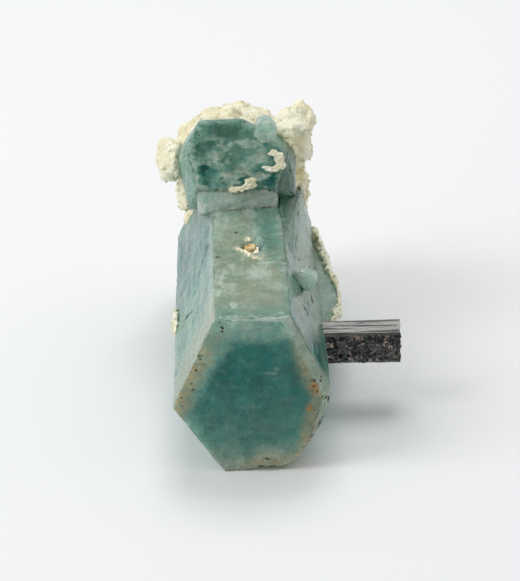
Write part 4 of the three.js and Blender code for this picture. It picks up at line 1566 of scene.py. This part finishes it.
@dataclass
class Feldspar:
    """All the feldspar: the matrix, the rind, the edge patch, the loose grains and the cavity's crust."""

    matrix: tuple[Lump, ...] = (
        Lump((0.0, 50.0, 12.4), (6.9, 5.2, 11.9), 0.4),
        Lump((-1.2, 46.0, 18.2), (6.6, 6.0, 6.4), 3.6),
        Lump((-2.1, 39.6, 22.6), (4.5, 4.6, 4.1), 1.7),
        Lump((-8.2, 41.0, 20.3), (1.75, 3.3, 2.2), 2.9),
        Lump((-6.5, 43.0, 16.6), (1.2, 4.0, 3.0), 4.1),
        Lump((5.7, 42.2, 22.2), (2.4, 4.0, 3.5), 5.3),
        Lump((6.9, 41.6, 24.5), (1.6, 3.2, 2.2), 2.2),
        Lump((4.3, 46.2, 16.2), (2.1, 5.2, 4.5), 0.9),
        Lump((7.0, 47.6, 14.0), (0.7, 3.4, 3.8), 1.3),
    )
    matrix_floor: float = 0.35
    rind_path: tuple[Point, ...] = ((8.3, 47.4, 8.2), (9.3, 41.4, 7.4), (10.6, 31.2, 6.5),
                                    (10.3, 27.2, 6.4), (9.2, 20.8, 6.6))
    rind_lumps: int = 26
    rind_width: float = 0.36
    rind_depth: float = 0.95
    edge_patch: Lump = Lump((-8.0, 22.4, 7.45), (0.36, 3.6, 0.95), 1.1, 0.16)
    upper_grain: tuple[Lump, ...] = crumbs(
        0.3, ((3.4, 33.3, 23.4), (0.6, 0.4, 0.4)), ((4.1, 33.3, 22.6), (0.7, 0.4, 0.65)),
        ((4.3, 33.3, 21.95), (0.65, 0.4, 0.45)), ((3.3, 33.3, 21.55), (1.0, 0.4, 0.4)))
    lower_grain: tuple[Lump, ...] = crumbs(
        2.5, ((-1.1, 33.15, 19.2), (0.65, 0.4, 0.28)), ((-0.3, 33.15, 19.35), (0.75, 0.4, 0.32)),
        ((0.6, 33.15, 19.7), (0.65, 0.4, 0.5)), ((0.7, 33.15, 20.25), (0.55, 0.4, 0.3)))
    cavity_grain: Lump = Lump((0.35, 20.8, 16.65), (0.6, 1.1, 0.4), 3.7, 0.2)
    cavity_crust: tuple[Lump, ...] = crumbs(
        0.7, ((-0.85, 19.9, 16.95), (0.4, 0.6, 0.17)), ((-0.3, 18.9, 16.95), (0.5, 0.8, 0.2)),
        ((0.3, 18.1, 16.95), (0.5, 0.9, 0.22)), ((0.8, 17.3, 16.95), (0.5, 0.5, 0.17)),
        ((1.1, 18.9, 16.95), (0.25, 1.0, 0.2)), ((0.1, 22.9, 16.95), (0.45, 0.5, 0.17)))

    def rind(self) -> list[Lump]:
        """Lumps strung along the rim of the flange, thinner and thicker by turns."""
        path = np.array(self.rind_path)
        lengths = np.concatenate(((0.0,), np.cumsum(np.linalg.norm(np.diff(path, axis=0), axis=1))))
        rng = np.random.default_rng(4)
        step = lengths[-1] / self.rind_lumps
        lumps = []
        for i in range(self.rind_lumps):
            at = (i + 0.5) * step
            place = [float(np.interp(at, lengths, path[:, k])) for k in range(3)]
            thick = self.rind_width * rng.uniform(0.6, 1.35)
            place[0] += rng.uniform(-0.2, 0.12)
            place[2] += rng.uniform(-0.35, 0.35)
            radii = (thick, step * rng.uniform(0.9, 1.5), self.rind_depth * rng.uniform(0.55, 1.1))
            lumps.append(Lump(tuple(place), radii, float(i), 0.2))
        return lumps

    def build(self, placement: Placement, beryl: Beryl) -> list[bpy.types.Object]:
        """Makes every piece of feldspar."""
        cream = FeldsparFinish().build()
        stained = FeldsparFinish("stained_feldspar", cream=(0.55, 0.32, 0.08), white=(0.85, 0.66, 0.36),
                                 tan=(0.24, 0.11, 0.02), grey=(0.36, 0.22, 0.08), stain=0.8).build()
        crusty = FeldsparFinish("crust_feldspar", cream=(0.98, 0.86, 0.52), white=(1.0, 0.94, 0.70)).build()
        coarse = GrainScatter("matrix_grains", 0.7, 0.25, 0.6, 3)
        fine = GrainScatter("rind_grains", 3.0, 0.16, 0.42, 5)
        tiny = GrainScatter("crumb_grains", 5.0, 0.12, 0.34, 8)
        plain = "feldspar"
        on_beryl = [
            FeldsparMass("feldspar_mass", "feldspar_matrix", plain, self.matrix, cream, coarse,
                         knobs=0.62, floor=self.matrix_floor),
            FeldsparMass("flange_rind", "feldspar_rind", plain, self.rind(), cream, fine,
                         voxel=0.14, knobs=0.36, seed=1.0),
        ]
        loose = [
            FeldsparMass("edge_crust", "feldspar_edge_patch", plain, [self.edge_patch], cream, fine,
                         voxel=0.12, knobs=0.28, seed=2.0),
            FeldsparMass("upper_crumb", "feldspar_grain_upper", plain, self.upper_grain, cream, tiny,
                         voxel=0.08, knobs=0.2, seed=3.0),
            FeldsparMass("lower_crumb", "feldspar_grain_lower", plain, self.lower_grain, cream, tiny,
                         voxel=0.08, knobs=0.1, seed=4.0),
            FeldsparMass("stained_crumb", "cavity_grain", "stained_feldspar", [self.cavity_grain], stained,
                         tiny, voxel=0.07, knobs=0.3, seed=5.0),
            FeldsparMass("cavity_crust", None, plain, self.cavity_crust, crusty, tiny,
                         voxel=0.07, knobs=0.12, seed=6.0),
        ]
        made = [mass.build(placement, beryl) for mass in on_beryl]
        return made + [mass.build(placement, None) for mass in loose]


# ---------------------------------------------------------------------------------------------
# Schorl
# ---------------------------------------------------------------------------------------------


@dataclass
class SchorlRod:
    """The black tourmaline rod: a striated prism, partly crumbled, broken across at its tip."""

    name: str = "schorl_prism"
    axis: tuple[float, float] = (17.0, 7.0)  # y and z
    ends: tuple[float, float] = (6.4, 16.6)  # x
    radius: float = 2.35
    around: int = 168
    step: float = 0.085
    cap_rings: int = 9  # of the rings that close each end
    cap_middle: float = 0.06  # the last of them, as a share of the radius
    faces: tuple[tuple[float, float], ...] = (  # degrees from the front towards the top, and distance
        (68, 0.93), (18, 0.90), (-38, 0.92), (-92, 0.95), (-140, 0.92), (168, 0.94), (118, 0.96))

    def section(self, angle: np.ndarray) -> np.ndarray:
        """The distance of the flat faces from the axis, as a share of the radius, at angles round it."""
        found = np.full(len(angle), 1.0)
        for degrees, distance in self.faces:
            facing = np.cos(angle - math.radians(degrees))
            found = np.where(facing > 0.2, np.minimum(found, distance / np.maximum(facing, 0.2)), found)
        return found

    def build(self, placement: Placement) -> bpy.types.Object:
        """Makes the finished piece."""
        angle = np.arange(self.around) / self.around * math.tau
        across = np.arange(self.ends[0], self.ends[1] + self.step / 2, self.step)
        caps = self.cap_rings
        shrink = np.concatenate((np.linspace(self.cap_middle, 1, caps, endpoint=False), np.ones(len(across)),
                                 np.linspace(1, self.cap_middle, caps + 1)[1:]))
        xs = np.concatenate((np.full(caps, across[0]), across, np.full(caps, across[-1])))
        x = np.repeat(xs, self.around)
        theta = np.tile(angle, len(xs))
        radius = self.radius * self.section(theta)
        share = np.repeat(shrink, self.around)
        flat = np.stack((x, -np.cos(theta) * radius, np.sin(theta) * radius), 1)
        grooves = 0.07 * fractal(flat, 0.28, 4, 1.0, (30, 1, 1))
        grooves += 0.06 * fractal(flat, 0.9, 3, 2.0, (20, 1, 1))
        crumbly = self.crumbly(flat, theta)
        near, _ = cells(flat, 0.62, 3.0)
        rough = -0.32 * smooth(0.15, 0.6, near) + 0.16 * fractal(flat, 0.8, 4, 4.0)
        radius = np.minimum(radius + (grooves + crumbly * (rough - 0.12)) * share ** 4, self.radius)
        at_tip = smooth(self.ends[1] - 1.0, self.ends[1], x)
        inner = 1 - share
        broken = 0.45 + 0.45 * fractal(flat * share[:, None] * np.array((0, 1, 1)), 1.1, 5, 5.0)
        x = x - at_tip * broken * (0.4 + 0.6 * smooth(0, 0.2, inner))
        places = np.stack((x, self.axis[0] - np.cos(theta) * radius * share,
                           self.axis[1] + np.sin(theta) * radius * share), 1)
        places[:, 0] = np.minimum(places[:, 0], self.ends[1])
        count = self.around
        last = count * (len(xs) - 1)
        faces = [(a + j, a + count + j, a + count + (j + 1) % count, a + (j + 1) % count)
                 for a in range(0, last, count) for j in range(count)]
        faces += [tuple(range(count)), tuple(range(last + count - 1, last - 1, -1))]
        piece = object_of(self.name, places, faces)
        body = bmesh.new()
        body.from_mesh(piece.data)
        bmesh.ops.recalc_face_normals(body, faces=body.faces)
        body.to_mesh(piece.data)
        body.free()
        set_mask(piece, "crumbly", np.maximum(crumbly, 0.8 * at_tip * smooth(0.0, 0.15, inner)))
        # painted sheen on the upper striated face, not on the crumbled part
        set_mask(piece, "bright", self.bright(theta) * (1 - crumbly))
        set_mask(piece, "grains", crumbly * smooth(self.ends[0] + 0.6, self.ends[0] + 1.2, places[:, 0]))
        GrainScatter("schorl_crumbs", 7.0, 0.16, 0.5, 13).dress(piece, SchorlFinish().build())
        return finish_piece(piece, placement, "schorl", ["schorl_rod"], sharp=34)

    @staticmethod
    def crumbly(p: np.ndarray, theta: np.ndarray) -> np.ndarray:
        """Where the rod has crumbled: most of its lower front."""
        angle = np.degrees((theta + math.pi) % math.tau - math.pi)
        front = smooth(-75, -45, angle) * smooth(46, 30, angle)
        return front * smooth(-0.35, 0.1, fractal(p, 1.6, 3, 7.0) + 0.25)

    @staticmethod
    def bright(theta: np.ndarray) -> np.ndarray:
        """Where its upper striated face gets a painted sheen."""
        angle = np.degrees((theta + math.pi) % math.tau - math.pi)
        return smooth(36, 46, angle) * smooth(104, 92, angle)


# ---------------------------------------------------------------------------------------------
# Studio
# ---------------------------------------------------------------------------------------------


@dataclass
class Lamp:
    """A soft square lamp: where it stands and what it looks at, in metres, its side and its power."""

    name: str
    place: Point
    side: float
    power: float
    colour: Colour = (1.0, 1.0, 1.0)
    target: Point = (0.0, 0.0, 0.012)

    def build(self) -> bpy.types.Object:
        """Makes the lamp."""
        light = bpy.data.lights.new(self.name, "AREA")
        light.shape = "SQUARE"
        light.size = self.side
        light.energy = self.power
        light.color = self.colour
        lamp = linked(self.name, light)
        lamp.location = self.place
        lamp.rotation_euler = (Vector(self.target) - Vector(self.place)).to_track_quat("-Z", "Y").to_euler()
        return lamp


@dataclass
class Studio:
    """A pale floor under soft light."""

    floor_side: float = 3.0
    sky: float = 0.57
    lamps: tuple[Lamp, ...] = (
        Lamp("key_light", (-0.38, -0.12, 0.34), 0.26, 1.0),
        Lamp("top_light", (0.03, 0.24, 0.46), 0.26, 0.85),
    )

    def build(self) -> None:
        """Makes the floor, the lamps and the pale surroundings."""
        half = self.floor_side / 2
        corners = np.array(((-half, -half, 0), (half, -half, 0), (half, half, 0), (-half, half, 0)))
        floor = object_of("floor", corners, [(0, 1, 2, 3)])
        floor.data.materials.append(FloorFinish().build())
        for lamp in self.lamps:
            lamp.build()
        world = bpy.data.worlds.new("surroundings")
        world.use_nodes = True
        sky = world.node_tree.nodes["Background"]
        sky.inputs["Color"].default_value = (1.0, 1.0, 1.0, 1.0)
        sky.inputs["Strength"].default_value = self.sky
        bpy.context.scene.world = world
        bpy.context.scene.view_settings.view_transform = "Standard"
        log.info("studio: %d lamps", len(self.lamps))


@dataclass
class View:
    """The camera, in the specimen's own millimetres."""

    place: Point = (-1.963, -223.282, 108.953)
    forward: Point = (0.01271, 0.92899, -0.36988)
    up: Point = (0.02668, 0.36947, 0.92886)
    lens: float = 166.15
    sensor: float = 36.0

    def build(self, placement: Placement) -> bpy.types.Object:
        """Makes the camera and looks through it."""
        data = bpy.data.cameras.new("camera")
        data.sensor_fit = "HORIZONTAL"
        data.sensor_width = self.sensor
        data.lens = self.lens
        data.clip_start = 0.01
        camera = linked("camera", data)
        forward = Vector(self.forward).normalized()
        right = forward.cross(Vector(self.up)).normalized()
        up = right.cross(forward)
        turn = Matrix((right, up, -forward)).transposed()
        camera.matrix_world = Matrix.Translation(placement.point(self.place)) @ turn.to_4x4()
        bpy.context.scene.camera = camera
        return camera


def main() -> None:
    """Builds the studio and the specimen, piece by piece."""
    logging.basicConfig(level=logging.INFO, format="%(message)s")
    beryl = Beryl()
    placement = Placement.of_beryl(beryl.corners[0][0])
    View().build(placement)
    Studio().build()
    beryl.build(placement)
    Feldspar().build(placement, beryl)
    SchorlRod().build(placement)


if __name__ == "__main__":
    main()
